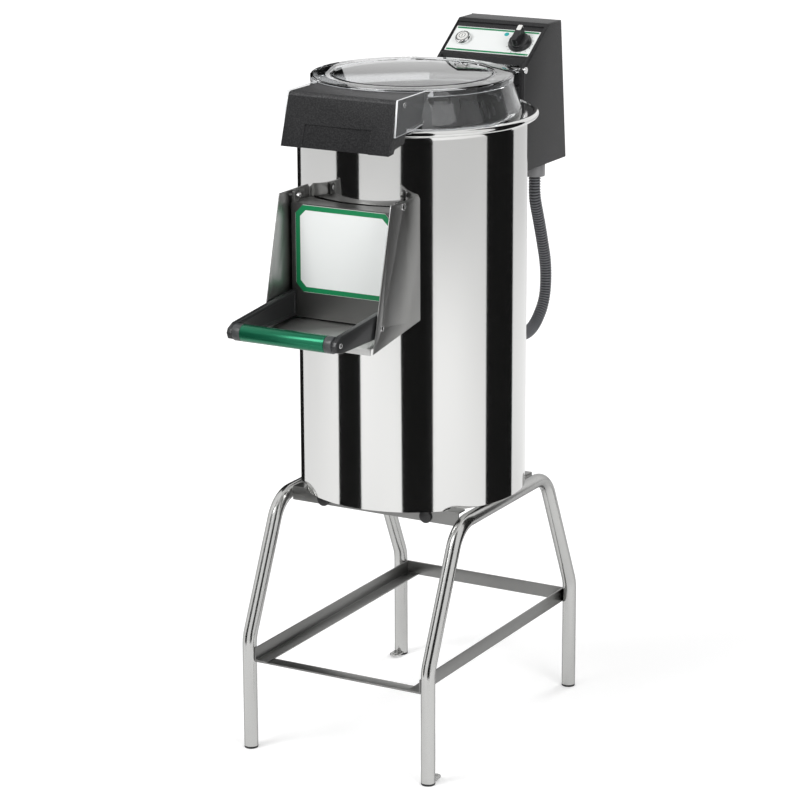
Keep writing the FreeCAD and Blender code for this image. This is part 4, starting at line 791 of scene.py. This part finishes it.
screw_tree = new_tree("screw_spread", (("Screw", "NodeSocketObject", None),
                                       ("Finish", "NodeSocketMaterial", None)))
entry = add_node(screw_tree, "NodeGroupInput")
head = add_node(screw_tree, "GeometryNodeObjectInfo", {"Object": entry.outputs["Screw"]})
facing = add_node(screw_tree, "GeometryNodeInputNamedAttribute", {"Name": "facing"},
                  data_type="FLOAT_VECTOR")
turned = add_node(screw_tree, "FunctionNodeAlignRotationToVector",
                  {"Vector": facing.outputs[0]}, axis="Z")
heads = add_node(screw_tree, "GeometryNodeInstanceOnPoints",
                 {"Points": entry.outputs[0], "Instance": head.outputs["Geometry"],
                  "Rotation": turned.outputs[0]})
real = add_node(screw_tree, "GeometryNodeRealizeInstances", {"Geometry": heads.outputs[0]})
painted = add_node(screw_tree, "GeometryNodeSetMaterial",
                   {"Geometry": real.outputs[0], "Material": entry.outputs["Finish"]})
add_node(screw_tree, "NodeGroupOutput", {"Geometry": painted.outputs[0]})


def spread_screws(name, places, size, body):
    """places is a list of (point, outward way); size is radius, height and socket radius."""
    mesh = bpy.data.meshes.new(name + "_points")
    mesh.from_pydata([point for point, _ in places], [], [])
    facing_values = mesh.attributes.new("facing", "FLOAT_VECTOR", "POINT")
    for index, (_, way) in enumerate(places):
        facing_values.data[index].vector = way
    seed = as_seed(name + "_seed", mesh)
    pattern = as_seed(name + "_pattern", screw_head(*size))
    result = run_tree(seed, screw_tree, {"Screw": pattern, "Finish": bright_metal})
    drop(seed)
    drop(pattern)
    smooth(result)
    place(name, result, body, "bright_metal")


# name, wall face, along, height, (radius, height, socket radius), body
SCREWS = (("cover_screws", 107.5, -220, 1169, (4.6, 2.0, 2.2), "lid"),
          ("side_screws", 108.5, -300.5, 808, (5.0, 2.0, 2.4), "stand"),
          ("pin_screws", 108.5, -226.5, 1000, (6.0, 2.0, 2.6), "stand"),
          ("handle_screws", 104.8, -431, 807, (4.4, 1.8, 2.2), "door"))
for name, face, along, height, size, body in SCREWS:
    spread_screws(name, [(at(side * face, along, height), X_AXIS * side) for side in (-1, 1)],
                  size, body)
print("screws", 2 * len(SCREWS))

# %% [markdown]
# ## The studio
# Polished steel shows its surroundings. The drum's black and white stripes are the room: tall
# white walls with dark gaps between them. Here the world is white, and tall dark cards stand
# round the machine where the gaps are. The cards are seen in reflections alone.

# %% The camera
YAW, PITCH, ROLL = 0.512, 0.271, -0.004
camera_place = at(2539.26, -4565.71, 2048.73)
ahead = Vector((-math.sin(YAW) * math.cos(PITCH), math.cos(YAW) * math.cos(PITCH),
                -math.sin(PITCH)))
level_right = Vector((math.cos(YAW), math.sin(YAW), 0))
level_up = level_right.cross(ahead)
right = level_right * math.cos(ROLL) + level_up * math.sin(ROLL)
up = level_up * math.cos(ROLL) - level_right * math.sin(ROLL)
camera_data = bpy.data.cameras.new("camera")
camera_data.sensor_width = 36
camera_data.lens = 137.42
camera_data.clip_end = 60
camera = bpy.data.objects.new("camera", camera_data)
camera.matrix_world = (Matrix.Translation(camera_place)
                       @ Matrix((right, up, -ahead)).transposed().to_4x4())
bpy.context.scene.collection.objects.link(camera)
bpy.context.scene.camera = camera

# %% The dark cards
CARD_DISTANCE = 1.15
to_camera = Vector((math.sin(YAW), -math.cos(YAW), 0))
CARD_ANGLES = ((-172, -140), (-75, -50), (-11, 18), (72.5, 112))
CARD_LOW, CARD_HIGH, CARD_STEPS = 0.02, 3.0, 6
dark_card = finish("dark_card", (0.012, 0.012, 0.012), 0.0, (0.9, 0.9), Specular_IOR_Level=0.0)


def card(name, start, stop):
    """A tall curved card between two angles, in degrees to the right of the camera's side."""
    bm = bmesh.new()
    columns = []
    for step in range(CARD_STEPS + 1):
        angle = math.radians(start + (stop - start) * step / CARD_STEPS)
        way = to_camera * math.cos(angle) + level_right * math.sin(angle)
        foot = Vector((0, AXIS_Y, 0)) + way * CARD_DISTANCE
        columns.append([bm.verts.new((foot.x, foot.y, level)) for level in (CARD_LOW, CARD_HIGH)])
    for here, after in zip(columns, columns[1:]):
        bm.faces.new((here[0], after[0], after[1], here[1]))
    mesh = bpy.data.meshes.new(name)
    bm.to_mesh(mesh)
    bm.free()
    mesh.materials.append(dark_card)
    obj = bpy.data.objects.new(name, mesh)
    bpy.context.scene.collection.objects.link(obj)
    obj.visible_camera = False
    obj.visible_diffuse = False
    obj.visible_shadow = False
    obj.visible_transmission = False


for index, (start, stop) in enumerate(CARD_ANGLES):
    card("dark_card_%d" % index, start, stop)
print("cards", len(CARD_ANGLES))

# %% [markdown]
# The world is white to the camera, in reflections and through the lid, and lights the machine
# at a lower level. The floor glows for the camera, and by a smaller share in reflections. Its
# glow grows away from the machine, so that the shadow near the feet stays and the far floor
# runs into the white room.

# %% The floor
FLOOR_HALF = 30
GLOW_NEAR, GLOW_FAR, GLOW_START, GLOW_STOP = 0.24, 0.60, 0.8, 4.0
MIRRORED_SHARE = 0.30
floor_material = finish("floor_white", (0.90, 0.90, 0.90), 0.0, (0.8, 0.8))
floor_tree = floor_material.node_tree
floor_rays = add_node(floor_tree, "ShaderNodeLightPath")
floor_place = add_node(floor_tree, "ShaderNodeTexCoord")
floor_reach = add_node(floor_tree, "ShaderNodeVectorMath", {0: floor_place.outputs["Object"]},
                       operation="LENGTH")
floor_fade = add_node(floor_tree, "ShaderNodeMapRange",
                      {"Value": floor_reach.outputs["Value"], "From Min": GLOW_START,
                       "From Max": GLOW_STOP, "To Min": GLOW_NEAR, "To Max": GLOW_FAR})
floor_mirrored = add_node(floor_tree, "ShaderNodeMath",
                          {0: floor_rays.outputs["Is Glossy Ray"], 1: MIRRORED_SHARE},
                          operation="MULTIPLY")
floor_seen = add_node(floor_tree, "ShaderNodeMath",
                      {0: floor_rays.outputs["Is Camera Ray"], 1: floor_mirrored.outputs[0]},
                      operation="MAXIMUM")
floor_glow = add_node(floor_tree, "ShaderNodeMath",
                      {0: floor_seen.outputs[0], 1: floor_fade.outputs["Result"]},
                      operation="MULTIPLY")
floor_shader = floor_tree.nodes["Principled BSDF"]
floor_shader.inputs["Emission Color"].default_value = (1, 1, 1, 1)
floor_tree.links.new(floor_glow.outputs[0], floor_shader.inputs["Emission Strength"])
floor_mesh = bpy.data.meshes.new("floor")
floor_corners = [(x * FLOOR_HALF, y * FLOOR_HALF, 0)
                 for x, y in ((-1, -1), (1, -1), (1, 1), (-1, 1))]
floor_mesh.from_pydata(floor_corners, [], [(0, 1, 2, 3)])
floor_mesh.materials.append(floor_material)
floor = bpy.data.objects.new("floor", floor_mesh)
bpy.context.scene.collection.objects.link(floor)
print("floor", 2 * FLOOR_HALF, "m wide")

# %% The world
FILL_LEVEL = 0.55
world = bpy.data.worlds.new("studio")
world.use_nodes = True
bpy.context.scene.world = world
world_tree = world.node_tree
rays = add_node(world_tree, "ShaderNodeLightPath").outputs
direct = add_node(world_tree, "ShaderNodeMath",
                  {0: rays["Is Camera Ray"], 1: rays["Is Glossy Ray"]}, operation="MAXIMUM")
seen = add_node(world_tree, "ShaderNodeMath",
                {0: direct.outputs[0], 1: rays["Is Transmission Ray"]}, operation="MAXIMUM")
strength = add_node(world_tree, "ShaderNodeMapRange",
                    {"Value": seen.outputs[0], "To Min": FILL_LEVEL, "To Max": 1.0})
background = world_tree.nodes["Background"]
background.inputs["Color"].default_value = (1, 1, 1, 1)
world_tree.links.new(strength.outputs["Result"], background.inputs["Strength"])
print("world fills at", FILL_LEVEL)


# %% The lamps
def lamp(name, place_at, target, size, power, mirrored=False):
    """A round lamp aimed at a point; a mirrored one also shows as a highlight on metal."""
    data = bpy.data.lights.new(name, "AREA")
    data.shape = "DISK"
    data.size = size
    data.energy = power
    obj = bpy.data.objects.new(name, data)
    turn = (Vector(target) - Vector(place_at)).to_track_quat("-Z", "Y")
    obj.matrix_world = Matrix.Translation(place_at) @ turn.to_matrix().to_4x4()
    bpy.context.scene.collection.objects.link(obj)
    obj.visible_glossy = mirrored


lamp("key", (-1.6, -3.0, 3.6), (0, 0, 0.7), 2.2, 95, True)
lamp("fill", (3.0, -1.6, 2.6), (0, 0, 0.8), 2.0, 45)
lamp("back", (0.6, 3.2, 3.0), (0, 0, 0.9), 1.6, 40)
print("lamps", len(bpy.data.lights))

# %% Finish
scene = bpy.context.scene
scene.view_settings.view_transform = "Standard"
